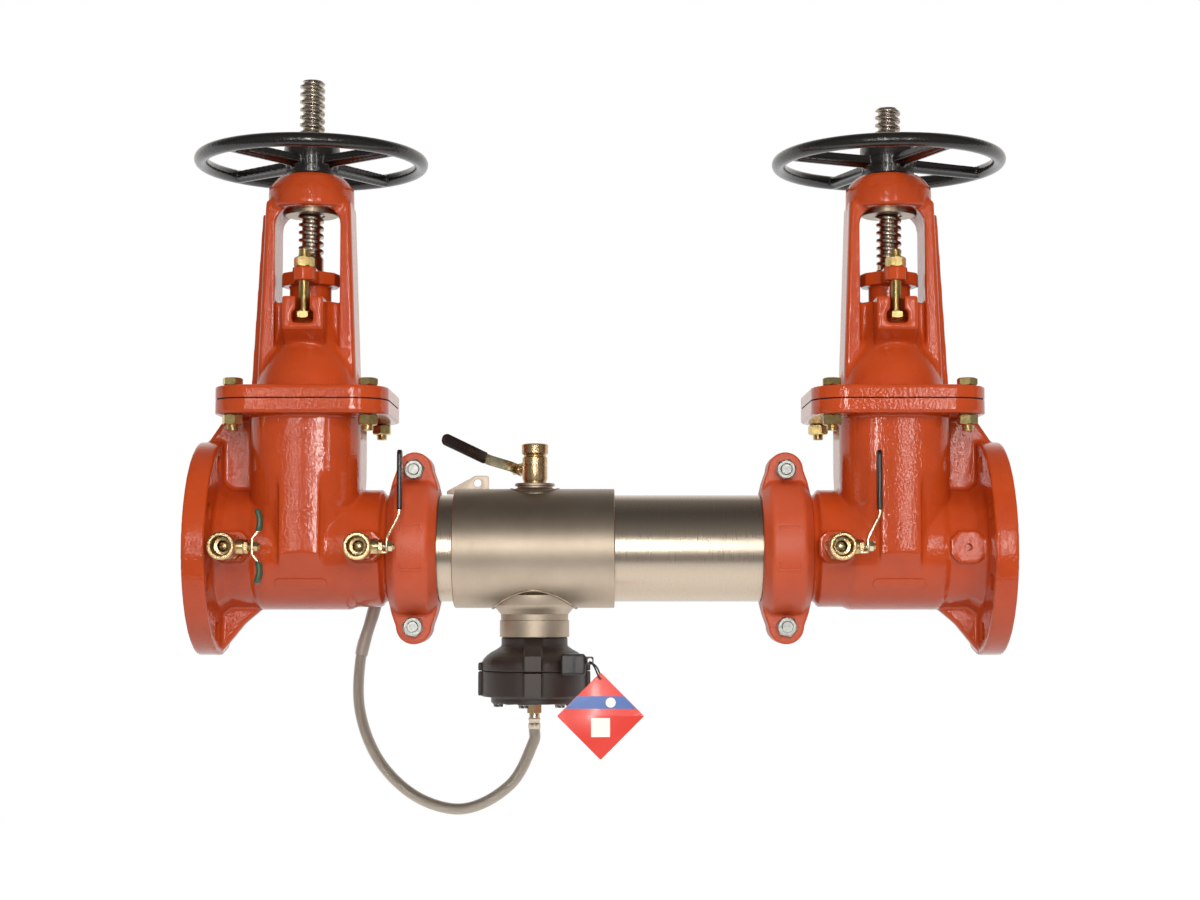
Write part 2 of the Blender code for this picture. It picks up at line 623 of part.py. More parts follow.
def bonnet(prefix):
    """The cast bonnet: joint flange with its gasket, dome, stuffing box and yoke."""
    x = STEM_FROM_FLANGE
    lip_low = JOINT_Z + GASKET_T - 0.0003
    lip_high = lip_low + BONNET_LIP_T
    piece = plate(
        prefix + "bonnet_lip", rounded_square(JOINT_HALF, JOINT_HALF, JOINT_CORNER_R),
        BONNET_LIP_T, "XY", (x, 0.0, (lip_low + lip_high) / 2),
    )
    inset = JOINT_HALF - GASKET_INSET
    gasket = plate(
        prefix + "gasket", rounded_square(inset, inset, JOINT_CORNER_R - GASKET_INSET),
        GASKET_T, "XY", (x, 0.0, JOINT_Z + GAP + GASKET_T / 2),
    )
    stretch = Matrix.Diagonal((1.0, DOME_STRETCH_Y, 1.0, 1.0))
    rise = DOME_TOP_Z - lip_high
    dome = turned(prefix + "dome", solid_profile([
        (BOX_R - 0.001, DOME_TOP_Z + 0.010), (DOME_R * 0.72, lip_high + 0.75 * rise),
        (DOME_R * 0.87, lip_high + 0.48 * rise), (DOME_R * 0.97, lip_high + 0.20 * rise),
        (DOME_R, lip_high - 0.006),
    ]), "Z", (x, 0.0, 0.0), steps=PIPE_SIDES)
    dome.matrix_world = dome.matrix_world @ stretch
    hollow = turned(prefix + "hollow", solid_profile([
        (BOX_R - 0.014, DOME_TOP_Z - 0.020), (DOME_R * 0.72 - DOME_WALL, lip_high + 0.75 * rise - 0.012),
        (DOME_R - DOME_WALL, lip_high + 0.003), (DOME_R - DOME_WALL, JOINT_Z - 0.01),
    ]), "Z", (x, 0.0, 0.0))
    hollow.matrix_world = hollow.matrix_world @ stretch
    box = rod(prefix + "box", BOX_R, DOME_TOP_Z - 0.025, BOX_TOP_Z, "Z", (x, 0.0, 0.0), ROUND_SIDES)
    web = block(
        prefix + "web", (x - YOKE_WINDOW_HALF - 0.004, -0.020, DOME_TOP_Z - 0.035),
        (x + YOKE_WINDOW_HALF + 0.004, 0.020, BOX_TOP_Z - 0.0012),
    )
    tee = plate(prefix + "tee", [
        (TEE_REACH_Y, BOX_TOP_Z + 0.0005), (-TEE_REACH_Y, BOX_TOP_Z + 0.0005),
        (-TEE_REACH_Y, POCKET_FLOOR_Z - 0.006), (-0.046, DOME_TOP_Z - 0.005), (-0.030, DOME_TOP_Z - 0.022),
        (0.030, DOME_TOP_Z - 0.022), (0.046, DOME_TOP_Z - 0.005), (TEE_REACH_Y, POCKET_FLOOR_Z - 0.006),
    ], 2 * TEE_HALF_X, "YZ", (x, 0.0, 0.0))
    yoke = plate(prefix + "yoke", [
        (-YOKE_BASE_HALF, lip_high - 0.004), (YOKE_BASE_HALF, lip_high - 0.004),
        (YOKE_TOP_HALF, YOKE_ARCH_Z + 0.008), (-YOKE_TOP_HALF, YOKE_ARCH_Z + 0.008),
    ], 2 * YOKE_HALF_Y, "XZ", (x, 0.0, 0.0))
    soften(yoke, 0.004)
    window = plate(prefix + "window", rounded([
        (-YOKE_WINDOW_HALF, lip_high - 0.02, 0.0), (YOKE_WINDOW_HALF, lip_high - 0.02, 0.0),
        (YOKE_WINDOW_HALF, YOKE_ARCH_Z, YOKE_ARCH_R), (-YOKE_WINDOW_HALF, YOKE_ARCH_Z, YOKE_ARCH_R),
    ], 4), 2 * YOKE_HALF_Y + 0.02, "XZ", (x, 0.0, 0.0))
    cut(yoke, window)
    rib = plate(prefix + "rib", [
        (-YOKE_RIB_FOOT, lip_high - 0.004), (-YOKE_BASE_HALF + 0.006, lip_high - 0.004),
        (-YOKE_TOP_HALF + 0.004, YOKE_RIB_TOP_Z), (-YOKE_RIB_HEAD, YOKE_RIB_TOP_Z),
    ], YOKE_RIB_T, "XZ", (x, 0.0, 0.0))
    cap_r = YOKE_TOP_HALF + 0.001
    cap = turned(prefix + "cap", solid_profile([
        (cap_r - YOKE_CAP_CHAMFER, YOKE_CAP_Z), (cap_r, YOKE_CAP_Z - YOKE_CAP_CHAMFER),
        (cap_r, YOKE_ARCH_Z + 0.001), (cap_r - 0.003, YOKE_ARCH_Z - 0.002),
    ]), "Z", (x, 0.0, 0.0), steps=PIPE_SIDES)
    cap_window = rod(prefix + "cap_window", YOKE_WINDOW_HALF - 0.004, YOKE_ARCH_Z - 0.01, YOKE_ARCH_Z,
                     "Z", (x, 0.0, 0.0), ROUND_SIDES)
    fuse(piece, gasket, dome, box, web, tee, yoke, rib, cap)
    cut(piece, hollow, cap_window)
    cut(piece, rod(prefix + "yoke_bore", YOKE_BORE_R, YOKE_ARCH_Z - 0.005, YOKE_CAP_Z + 0.01, "Z",
                   (x, 0.0, 0.0), ROUND_SIDES))
    cut(piece, rod(prefix + "stem_bore", STEM_R + 2 * GAP, DOME_TOP_Z - 0.04, BOX_FLOOR_Z + 0.002, "Z",
                   (x, 0.0, 0.0)))
    cut(piece, rod(prefix + "packing_bore", PACKING_R, BOX_FLOOR_Z, BOX_TOP_Z + 0.01, "Z",
                   (x, 0.0, 0.0), ROUND_SIDES))
    for side in (-1, 1):
        near = side * (GLAND_BOLT_Y - POCKET_HALF_X)
        far = side * (TEE_REACH_Y + 0.01)
        low, high = sorted((near, far))
        name = prefix + ("front" if side < 0 else "back")
        cut(piece, block(
            name + "_pocket", (x - POCKET_HALF_X, low, POCKET_FLOOR_Z), (x + POCKET_HALF_X, high, SLOT_FLOOR_Z),
        ))
        low, high = sorted((side * (GLAND_BOLT_Y - SLOT_HALF_X), far))
        cut(piece, block(
            name + "_slot", (x - SLOT_HALF_X, low, SLOT_FLOOR_Z - 0.001), (x + SLOT_HALF_X, high, BOX_TOP_Z + 0.01),
        ))
    for index, (side_x, side_y) in enumerate(joint_corners()):
        cut(piece, rod(prefix + "bonnet_hole_%d" % index, BOLT_R + GAP, JOINT_Z - 0.01, lip_high + 0.01,
                       "Z", (x + side_x, side_y, 0.0), sides=BOLT_SIDES))
    return finish(piece, prefix + "bonnet", RED_PAINT)


def bonnet_bolts(prefix):
    """Four hexagon bolts through the joint, each drawn with its nut."""
    head_low = JOINT_Z + GASKET_T - 0.0003 + BONNET_LIP_T + GAP
    nut_high = JOINT_Z - BODY_LIP_T - GAP
    for index, (side_x, side_y) in enumerate(joint_corners()):
        place = (STEM_FROM_FLANGE + side_x, side_y, 0.0)
        name = prefix + "bonnet_bolt_%d" % (index + 1)
        bolt = rod(name, BOLT_R, nut_high - NUT_HEIGHT - BOLT_TAIL, head_low + 0.001, "Z", place, BOLT_SIDES)
        fuse(bolt, hexagon(name + "_head", HEX_FLATS, head_low, head_low + HEX_HEIGHT, "Z", place))
        fuse(bolt, hexagon(name + "_nut", HEX_FLATS, nut_high - NUT_HEIGHT, nut_high, "Z", place))
        finish(bolt, name, YELLOW_ZINC)


def wedge(prefix, lift):
    """The rubber-covered wedge with its guide lugs and the slot for the stem's foot."""
    x = STEM_FROM_FLANGE
    face = WEDGE_HALF_T
    disc = turned(prefix + "wedge", solid_profile([
        (WEDGE_RIM_R, face), (WEDGE_R, face - 0.008), (WEDGE_R, 0.008 - face), (WEDGE_RIM_R, -face),
    ]), "X", (x, 0.0, lift), steps=PIPE_SIDES)
    top = block(
        prefix + "wedge_top", (x - face + 0.0005, -WEDGE_TOP_HALF_Y, lift),
        (x + face - 0.0005, WEDGE_TOP_HALF_Y, lift + WEDGE_TOP_Z),
    )
    lugs = block(
        prefix + "wedge_lugs", (x - LUG_HALF_X, -LUG_HALF_Y, lift + LUG_LOW_Z),
        (x + LUG_HALF_X, LUG_HALF_Y, lift + LUG_HIGH_Z),
    )
    fuse(disc, top, lugs)
    foot_low = lift + STEM_FOOT_Z - GAP
    foot_high = lift + STEM_FOOT_Z + STEM_FOOT_T + GAP
    reach = 2 * face
    cut(disc, block(
        prefix + "foot_slot", (x - reach, -STEM_FOOT_R - GAP, foot_low), (x + reach, STEM_FOOT_R + GAP, foot_high),
    ))
    cut(disc, block(
        prefix + "neck_slot", (x - reach, -STEM_NECK_R - GAP, foot_high - 0.001),
        (x + reach, STEM_NECK_R + GAP, lift + WEDGE_TOP_Z + 0.01),
    ))
    return finish(disc, prefix + "wedge", RUBBER)


def stem(prefix, lift):
    """The non-turning stem with its foot in the wedge."""
    foot_top = STEM_FOOT_Z + STEM_FOOT_T
    piece = turned(prefix + "stem", solid_profile([
        (STEM_R - STEM_CHAMFER, STEM_TOP_Z), (STEM_R, STEM_TOP_Z - STEM_CHAMFER),
        (STEM_R, WEDGE_TOP_Z + GAP + STEM_R - STEM_NECK_R), (STEM_NECK_R, WEDGE_TOP_Z + GAP),
        (STEM_NECK_R, foot_top), (STEM_FOOT_R, foot_top), (STEM_FOOT_R, STEM_FOOT_Z),
    ]), "Z", (STEM_FROM_FLANGE, 0.0, lift), steps=SMALL_SIDES)
    return finish(piece, prefix + "stem", STAINLESS)


def gland(prefix):
    """The gland follower, drawn with the packing rings that its sleeve presses."""
    x = STEM_FROM_FLANGE
    ear = GLAND_EAR_R
    tip = GLAND_BOLT_Y + ear
    piece = plate(prefix + "gland", rounded([
        (GLAND_R, 0.0, 0.0), (GLAND_R - 0.004, 0.0155, 0.0), (ear, 0.030, 0.0), (ear, tip, ear - 0.0005),
        (-ear, tip, ear - 0.0005), (-ear, 0.030, 0.0), (0.004 - GLAND_R, 0.0155, 0.0), (-GLAND_R, 0.0, 0.0),
        (0.004 - GLAND_R, -0.0155, 0.0), (-ear, -0.030, 0.0), (-ear, -tip, ear - 0.0005),
        (ear, -tip, ear - 0.0005), (ear, -0.030, 0.0), (GLAND_R - 0.004, -0.0155, 0.0),
    ]), GLAND_T, "XY", (x, 0.0, GLAND_LOW_Z + GLAND_T / 2))
    sleeve = rod(prefix + "sleeve", PACKING_R - GAP, GLAND_SLEEVE_FOOT_Z, GLAND_LOW_Z + 0.003, "Z",
                 (x, 0.0, 0.0), ROUND_SIDES)
    fuse(piece, sleeve)
    cut(piece, rod(prefix + "gland_bore", STEM_R + GAP, GLAND_SLEEVE_FOOT_Z - 0.01, GLAND_LOW_Z + GLAND_T + 0.01,
                   "Z", (x, 0.0, 0.0)))
    for side in (-1, 1):
        cut(piece, rod(prefix + "gland_hole_%d" % side, BOLT_R + GAP, GLAND_LOW_Z - 0.01, GLAND_LOW_Z + GLAND_T + 0.01,
                       "Z", (x, side * GLAND_BOLT_Y, 0.0), BOLT_SIDES))
    return finish(piece, prefix + "gland", RED_PAINT)


def gland_bolts(prefix):
    """Two bolts whose heads hang in the bonnet's T slots, each drawn with its nut."""
    head_high = SLOT_FLOOR_Z - GAP
    nut_low = GLAND_LOW_Z + GLAND_T + GAP
    for side, word in ((-1, "front"), (1, "back")):
        place = (STEM_FROM_FLANGE, side * GLAND_BOLT_Y, 0.0)
        name = prefix + "gland_bolt_" + word
        bolt = rod(name, BOLT_R, head_high - 0.001, GLAND_BOLT_TOP_Z, "Z", place, BOLT_SIDES)
        fuse(bolt, hexagon(name + "_head", HEX_FLATS, head_high - HEX_HEIGHT, head_high, "Z", place))
        fuse(bolt, hexagon(name + "_nut", HEX_FLATS, nut_low, nut_low + NUT_HEIGHT, "Z", place))
        finish(bolt, name, YELLOW_ZINC)


def handwheel(prefix, spoke_deg):
    """The cast handwheel, drawn with the yoke nut that it turns on the stem's thread."""
    place = (STEM_FROM_FLANGE, 0.0, WHEEL_Z)
    foot = YOKE_CAP_Z + GAP - WHEEL_Z
    top = WHEEL_HUB_TOP_Z - WHEEL_Z
    flange_top = YOKE_ARCH_Z - GAP - WHEEL_Z
    sleeve_r = YOKE_BORE_R - 2 * GAP
    low = flange_top - YOKE_NUT_FLANGE_T
    thread_r = STEM_R + 2 * GAP
    hub = turned(prefix + "handwheel", [
        (WHEEL_HUB_R - 0.003, top), (WHEEL_HUB_R, top - 0.003), (WHEEL_HUB_R, foot), (sleeve_r, foot),
        (sleeve_r, flange_top), (YOKE_NUT_FLANGE_R, flange_top), (YOKE_NUT_FLANGE_R, low),
        (thread_r, low), (thread_r, top),
    ], "Z", place, ring=True)
    bpy.ops.mesh.primitive_torus_add(
        major_segments=32, minor_segments=6, major_radius=WHEEL_R, minor_radius=WHEEL_RIM_R, location=place,
    )
    rim = bpy.context.object
    rim.name = prefix + "rim"
    for holder in list(rim.users_collection):
        holder.objects.unlink(rim)
    PARTS.objects.link(rim)
    fuse(hub, rim)
    inner = WHEEL_HUB_R * 0.75
    for index in range(SPOKES):
        spoke = plate(prefix + "spoke_%d" % index, [
            (inner, -SPOKE_WIDTH / 2), (WHEEL_R, -SPOKE_TIP_WIDTH / 2), (WHEEL_R, SPOKE_TIP_WIDTH / 2),
            (inner, SPOKE_WIDTH / 2),
        ], SPOKE_T, "XY", place, math.radians(spoke_deg) + 2 * math.pi * index / SPOKES)
        fuse(hub, spoke)
    nut = hexagon(prefix + "wheel_nut", WHEEL_NUT_FLATS, top - 0.002, top + WHEEL_NUT_T, "Z", place)
    cut(nut, rod(prefix + "nut_bore", thread_r + 0.0006, top - 0.01, top + 0.02, "Z", place))
    fuse(hub, nut)
    return finish(hub, prefix + "handwheel", BLACK_PAINT)


def gate_valve(prefix, flange_x, heading_deg, lift, spoke_deg, taps):
    """One gate valve, built from its flange face and then turned and set in the line."""
    before = set(bpy.data.objects)
    valve_body(prefix, taps)
    bonnet(prefix)
    bonnet_bolts(prefix)
    wedge(prefix, lift)
    stem(prefix, lift)
    gland(prefix)
    gland_bolts(prefix)
    handwheel(prefix, spoke_deg)
    frame = bpy.data.objects.new(prefix + "valve_frame", None)
    PARTS.objects.link(frame)
    frame.location = (flange_x, 0.0, 0.0)
    frame.rotation_euler = (0.0, 0.0, math.radians(heading_deg))
    for obj in bpy.data.objects:
        if obj not in before and obj is not frame:
            obj.parent = frame


def coupling(prefix, middle_x):
    """A grooved coupling: two housings on the pipes' grooves, a gasket and two bolts."""
    half = PIPE_JOINT_GAP / 2 + GROOVE_FROM_END + GROOVE_WIDTH / 2 + COUPLING_KEY_WIDTH / 2
    key_in = half - COUPLING_KEY_WIDTH
    key_r = PIPE_R - GROOVE_DEPTH + 2 * GAP
    band = half - 0.0025
    outer = [
        (PIPE_R + 0.005, half), (COUPLING_R - 0.003, band), (COUPLING_R, band - 0.003),
        (COUPLING_R, 0.003 - band), (COUPLING_R - 0.003, -band), (PIPE_R + 0.005, -half),
    ]
    inner = [
        (key_r, half + 0.01), (key_r, key_in), (COUPLING_POCKET_R, key_in), (COUPLING_POCKET_R, -key_in),
        (key_r, -key_in), (key_r, -half - 0.01),
    ]
    spread = COUPLING_R - 0.006
    for side, word in ((-1, "front"), (1, "back")):
        name = prefix + "coupling_" + word
        housing = turned(name, solid_profile(outer), "X", (middle_x, 0.0, 0.0), steps=PIPE_SIDES)
        low, high = sorted((-side * 0.001, side * COUPLING_LUG_DEPTH))
        for end in (-1, 1):
            ear = plate(name + "_ear_%d" % end, [
                (-half + 0.001, end * (COUPLING_R - 0.016)), (-half + 0.001, end * spread),
                (-0.0155, end * COUPLING_LUG_TOP_Z), (0.0155, end * COUPLING_LUG_TOP_Z),
                (half - 0.001, end * spread), (half - 0.001, end * (COUPLING_R - 0.016)),
            ], high - low, "XZ", (middle_x, (low + high) / 2, 0.0))
            fuse(housing, ear)
        cut(housing, turned(name + "_inside", solid_profile(inner), "X", (middle_x, 0.0, 0.0), PIPE_SIDES))
        reach = COUPLING_LUG_TOP_Z + 0.01
        low, high = sorted((side * COUPLING_SPLIT, -side * reach))
        cut(housing, block(
            name + "_other_half", (middle_x - 2 * half, low, -reach), (middle_x + 2 * half, high, reach),
        ))
        for end in (-1, 1):
            cut(housing, rod(name + "_hole_%d" % end, BOLT_R + GAP, -0.05, 0.05, "Y",
                             (middle_x, 0.0, end * COUPLING_LUG_Z), BOLT_SIDES))
        finish(housing, name, COUPLING_PAINT)

    lip_r = PIPE_R + GAP
    outer_r = COUPLING_POCKET_R - GAP
    wide = key_in - 2 * GAP
    gasket = turned(prefix + "coupling_gasket", [
        (outer_r, wide), (outer_r, -wide), (lip_r, -wide), (outer_r - 0.004, -0.008), (outer_r - 0.004, 0.008),
        (lip_r, wide),
    ], "X", (middle_x, 0.0, 0.0), PIPE_SIDES, ring=True)
    finish(gasket, prefix + "coupling_gasket", RUBBER)

    face = COUPLING_LUG_DEPTH + GAP
    for end, word in ((1, "top"), (-1, "bottom")):
        name = prefix + "coupling_bolt_" + word
        place = (middle_x, 0.0, end * COUPLING_LUG_Z)
        bolt = rod(name, BOLT_R, -face - NUT_HEIGHT - 0.004, face + 0.001, "Y", place, BOLT_SIDES)
        fuse(bolt, hexagon(name + "_nut", COUPLING_NUT_FLATS, -face - NUT_HEIGHT, -face, "Y", place))
        fuse(bolt, rod(name + "_head", COUPLING_NUT_FLATS / 2, face, face + HEX_HEIGHT, "Y", place, tip=0.008))
        finish(bolt, name, CLEAR_ZINC)


def zone_body():
    """The stainless body: two pipe ends, the wide tee, its branch, the cock boss and a lug plate."""
    low = VALVE_LENGTH + PIPE_JOINT_GAP
    high = LAY_LENGTH - low
    groove_r = PIPE_R - GROOVE_DEPTH
    groove_in = GROOVE_FROM_END + GROOVE_WIDTH
    body = turned("zone_body", solid_profile([
        (PIPE_R, high), (PIPE_R, high - GROOVE_FROM_END), (groove_r, high - GROOVE_FROM_END),
        (groove_r, high - groove_in), (PIPE_R, high - groove_in), (PIPE_R, TEE_END_X + 0.001),
        (TEE_R, TEE_END_X - 0.001), (TEE_R, TEE_START_X + 0.001), (PIPE_R, TEE_START_X - 0.001),
        (PIPE_R, low + groove_in), (groove_r, low + groove_in), (groove_r, low + GROOVE_FROM_END),
        (PIPE_R, low + GROOVE_FROM_END), (PIPE_R, low),
    ]), "X", steps=PIPE_SIDES)
    branch = turned("branch", solid_profile([
        (TEE_R - 0.018, -0.046), (TEE_R - 0.0185, -0.058), (COLLAR_R + 0.004, -TEE_R - 0.0005),
        (COLLAR_R - 0.0010, -TEE_R - 0.006), (COLLAR_R - 0.0012, COLLAR_TOP_Z + 0.0005),
        (COLLAR_R, COLLAR_TOP_Z), (COLLAR_R, COLLAR_LOW_Z),
    ]), "Z", (BRANCH_X, 0.0, 0.0), steps=PIPE_SIDES)
    boss = turned("top_boss", solid_profile([
        (TOP_BOSS_R, TOP_BOSS_Z), (TOP_BOSS_R, TEE_R + 0.002), (TOP_BOSS_FLARE_R, TEE_R - 0.006),
        (TOP_BOSS_FLARE_R, TEE_R - 0.010),
    ]), "Z", (BRANCH_X, 0.0, 0.0))
    corner_x = TEE_START_X
    plate_top = TEE_R + 0.016
    lug = plate("lug_plate", [
        (corner_x - 0.0115, PIPE_R + 0.0023), (corner_x - 0.0115, PIPE_R + 0.0060),
        (corner_x + 0.0200, plate_top), (corner_x + 0.0320, plate_top), (corner_x + 0.0345, plate_top - 0.0025),
        (corner_x + 0.0345, TEE_R - 0.014), (corner_x + 0.0040, TEE_R - 0.014),
        (corner_x + 0.0040, PIPE_R + 0.0023),
    ], LUG_PLATE_T, "XZ", (0.0, LUG_PLATE_Y, 0.0))
    cut(lug, rod("lug_hole", 0.0042, -0.01, 0.01, "Y", (corner_x + 0.0222, LUG_PLATE_Y, TEE_R + 0.008)))
    fuse(body, branch, boss, lug)
    cut(body, rod("shell_bore", PIPE_R - SHELL_T, low - 0.01, high + 0.01, "X", sides=PIPE_SIDES))
    cut(body, rod("branch_bore", BRANCH_BORE_R, COLLAR_LOW_Z - 0.01, -0.03, "Z", (BRANCH_X, 0.0, 0.0), ROUND_SIDES))
    cut(body, rod("boss_tap", TAP_R, TOP_BOSS_Z - TAP_DEPTH, TOP_BOSS_Z + 0.01, "Z", (BRANCH_X, 0.0, 0.0)))
    cut(body, rod("boss_drill", COCK_BORE_R, 0.04, TOP_BOSS_Z - TAP_DEPTH + 0.001, "Z", (BRANCH_X, 0.0, 0.0),
                  BOLT_SIDES))
    finish(body, "zone_body", STAINLESS)


def check_valve(prefix, seat_x):
    """One swing check: a seat ring with its hinge pin, the clapper and a torsion spring."""
    face = seat_x + SEAT_T
    hinge = (face + HINGE_X, 0.0, HINGE_Z)
    ring_r = PIPE_R - SHELL_T - GAP
    seat = turned(prefix + "seat", [
        (ring_r, face), (ring_r, seat_x), (SEAT_BORE_R, seat_x), (SEAT_BORE_R, face),
    ], "X", steps=PIPE_SIDES, ring=True)
    for side in (-1, 1):
        lug = plate(prefix + "lug_%d" % side, rounded([
            (-HINGE_X - 0.002, -HINGE_LUG_R, 0.0), (HINGE_LUG_R, -HINGE_LUG_R, 0.004),
            (HINGE_LUG_R, HINGE_LUG_R, 0.004), (-HINGE_X - 0.002, HINGE_LUG_R, 0.0),
        ]), HINGE_LUG_T, "XZ", (hinge[0], side * HINGE_LUG_Y, HINGE_Z))
        fuse(seat, lug)
    fuse(seat, rod(prefix + "pin", HINGE_PIN_R, -HINGE_LUG_Y - 0.001, HINGE_LUG_Y + 0.001, "Y",
                   (hinge[0], 0.0, HINGE_Z), BOLT_SIDES))
    finish(seat, prefix + "seat", CHECK_PLASTIC)

    near = GAP - HINGE_X
    back = near + CLAPPER_T
    clapper = turned(prefix + "clapper", solid_profile([
        (CLAPPER_R * 0.6, back), (CLAPPER_R, back - 0.003), (CLAPPER_R, near),
    ]), "X", (hinge[0], 0.0, 0.0))
    arm_r = HINGE_LUG_R - 0.0004
    for side in (-1, 1):
        arm = plate(prefix + "arm_%d" % side, rounded([
            (near + 0.003, -0.030, 0.0), (back + 0.001, -0.030, 0.0), (arm_r, -0.004, 0.0),
            (arm_r, arm_r, 0.003), (-arm_r, arm_r, 0.003), (-arm_r, -0.006, 0.0), (near + 0.003, -0.010, 0.0),
        ]), 0.004, "XZ", (hinge[0], side * KNUCKLE_Y, HINGE_Z))
        fuse(clapper, arm)
    cut(clapper, rod(prefix + "pin_hole", HINGE_PIN_R + 2 * GAP, -0.03, 0.03, "Y",
                     (hinge[0], 0.0, HINGE_Z), BOLT_SIDES))
    hang(finish(clapper, prefix + "clapper", RUBBER), hinge)

    per_turn = 6
    count = SPRING_TURNS * per_turn
    coil = []
    for index in range(count + 1):
        angle = 2 * math.pi * index / per_turn + math.pi
        along = SPRING_HALF_LENGTH * (2 * index / count - 1)
        coil.append((SPRING_COIL_R * math.cos(angle), along, SPRING_COIL_R * math.sin(angle)))
    finish(tube(prefix + "spring", coil, SPRING_WIRE_R, 0, hinge), prefix + "spring", STAINLESS)


def relief_valve():
    """The relief valve: body with its seat and discharge window, cover, diaphragm, spindle, spring."""
    place = (BRANCH_X, 0.0, 0.0)
    spigot_top = COLLAR_LOW_Z + 0.013
    body_low = RELIEF_SPLIT_Z + GAP
    body = turned("relief_body", solid_profile([
        (BRANCH_BORE_R - 2 * GAP, spigot_top), (BRANCH_BORE_R - 2 * GAP, COLLAR_LOW_Z - GAP),
        (RELIEF_NECK_R, COLLAR_LOW_Z - GAP), (RELIEF_NECK_R, COLLAR_LOW_Z - 0.0095),
        (RELIEF_R - 0.010, RELIEF_SHOULDER_Z + 0.010), (RELIEF_R - 0.002, RELIEF_SHOULDER_Z + 0.004),
        (RELIEF_R, RELIEF_SHOULDER_Z), (RELIEF_R, body_low),
    ]), "Z", place, PIPE_SIDES)
    rib = plate("relief_rib", [
        (0.003 - RELIEF_NECK_R, COLLAR_LOW_Z - 0.0015), (-RELIEF_NECK_R - 0.003, COLLAR_LOW_Z - 0.0035),
        (-RELIEF_R + 0.006, COLLAR_LOW_Z - 0.009), (-RELIEF_EAR_REACH, RELIEF_SHOULDER_Z + 0.008),
        (-RELIEF_EAR_REACH, body_low), (-RELIEF_R + 0.0115, body_low), (0.0015 - RELIEF_NECK_R, COLLAR_LOW_Z - 0.010),
        (0.006 - RELIEF_NECK_R, COLLAR_LOW_Z - 0.005),
    ], RELIEF_EAR_WIDTH, "YZ", place)
    fuse(body, rib)
    ear_t = 0.0085
    for name, angle in (("left", math.pi), ("right", 0.0), ("back", math.pi / 2)):
        ear = plate("relief_ear_" + name, relief_ear(), ear_t, "XY", (BRANCH_X, 0.0, body_low + ear_t / 2), angle)
        fuse(body, ear)
    floor_z = body_low + 0.0040
    cut(body, rod("relief_throat", RELIEF_SEAT_R, RELIEF_SEAT_Z - 0.003, spigot_top + 0.01, "Z", place))
    cut(body, turned("relief_chamber", solid_profile([
        (RELIEF_DISC_R + 0.004, RELIEF_SEAT_Z), (RELIEF_NECK_R + 0.004, RELIEF_SEAT_Z - 0.006),
        (RELIEF_R - RELIEF_WALL, RELIEF_SHOULDER_Z + 0.002), (RELIEF_R - RELIEF_WALL, floor_z),
    ]), "Z", place, PIPE_SIDES))
    cut(body, rod("relief_guide", RELIEF_ROD_R + GAP, RELIEF_SPLIT_Z - 0.01, floor_z + 0.01, "Z", place))
    for side in (-1, 1):
        cut(body, block(
            "relief_window_%d" % side, (BRANCH_X + side * 0.025 - 0.0125, 0.025, floor_z + 0.0005),
            (BRANCH_X + side * 0.025 + 0.0125, RELIEF_R + 0.01, RELIEF_SEAT_Z - 0.007),
        ))
    finish(body, "relief_body", BLACK_PLASTIC)

    clamp = DIAPHRAGM_T + 2 * GAP
    rim_r = RELIEF_R - RELIEF_WALL
    cover = turned("relief_cover", solid_profile([
        (RELIEF_R, RELIEF_SPLIT_Z), (RELIEF_R, RELIEF_DRUM_Z), (RELIEF_FOOT_R, RELIEF_DRUM_Z),
        (RELIEF_FOOT_R, RELIEF_FOOT_Z),
    ]), "Z", place, PIPE_SIDES)
    ear_height = RELIEF_SPLIT_Z - RELIEF_DRUM_Z - 0.001
    for name, angle in (("left", math.pi), ("right", 0.0), ("back", math.pi / 2), ("front", -math.pi / 2)):
        ear = plate("cover_ear_" + name, relief_ear(), ear_height - 0.0005, "XY",
                    (BRANCH_X, 0.0, RELIEF_SPLIT_Z - 0.0005 - ear_height / 2), angle)
        fuse(cover, ear)
    for index in range(RELIEF_BOLTS):
        angle = 2 * math.pi * (index + 0.25) / RELIEF_BOLTS
        spot = (BRANCH_X + RELIEF_BOLT_CIRCLE * math.cos(angle), RELIEF_BOLT_CIRCLE * math.sin(angle), 0.0)
        fuse(cover, hexagon("cover_bolt_%d" % index, 0.010, RELIEF_FOOT_Z - 0.004, RELIEF_FOOT_Z + 0.002, "Z", spot))
    cut(cover, rod("cover_recess", rim_r + GAP, RELIEF_SPLIT_Z - clamp, RELIEF_SPLIT_Z + 0.01, "Z", place, PIPE_SIDES))
    cut(cover, rod("cover_hollow", rim_r - 0.007, RELIEF_FOOT_Z + 0.006, RELIEF_SPLIT_Z - clamp / 2, "Z", place,
                   PIPE_SIDES))
    cut(cover, rod("sense_port", SENSE_PORT_R + GAP, RELIEF_FOOT_Z - 0.01, RELIEF_DRUM_Z, "Z", place))
    finish(cover, "relief_cover", BLACK_PLASTIC)

    rim_top = RELIEF_SPLIT_Z - GAP
    fold_r = rim_r - 0.009
    low = PLATE_Z - PLATE_T - GAP
    diaphragm = turned("relief_diaphragm", [
        (0.0, low), (PLATE_R + 0.001, low), (PLATE_R + 0.004, low + 0.003), (fold_r - 0.0004, rim_top - 0.002),
        (fold_r + 0.001, rim_top), (rim_r, rim_top), (rim_r, rim_top - DIAPHRAGM_T),
        (fold_r + 0.0022, rim_top - DIAPHRAGM_T), (PLATE_R + 0.0058, low + 0.0015),
        (PLATE_R + 0.0018, low - DIAPHRAGM_T), (0.0, low - DIAPHRAGM_T),
    ], "Z", place, PIPE_SIDES)
    finish(diaphragm, "relief_diaphragm", RUBBER)

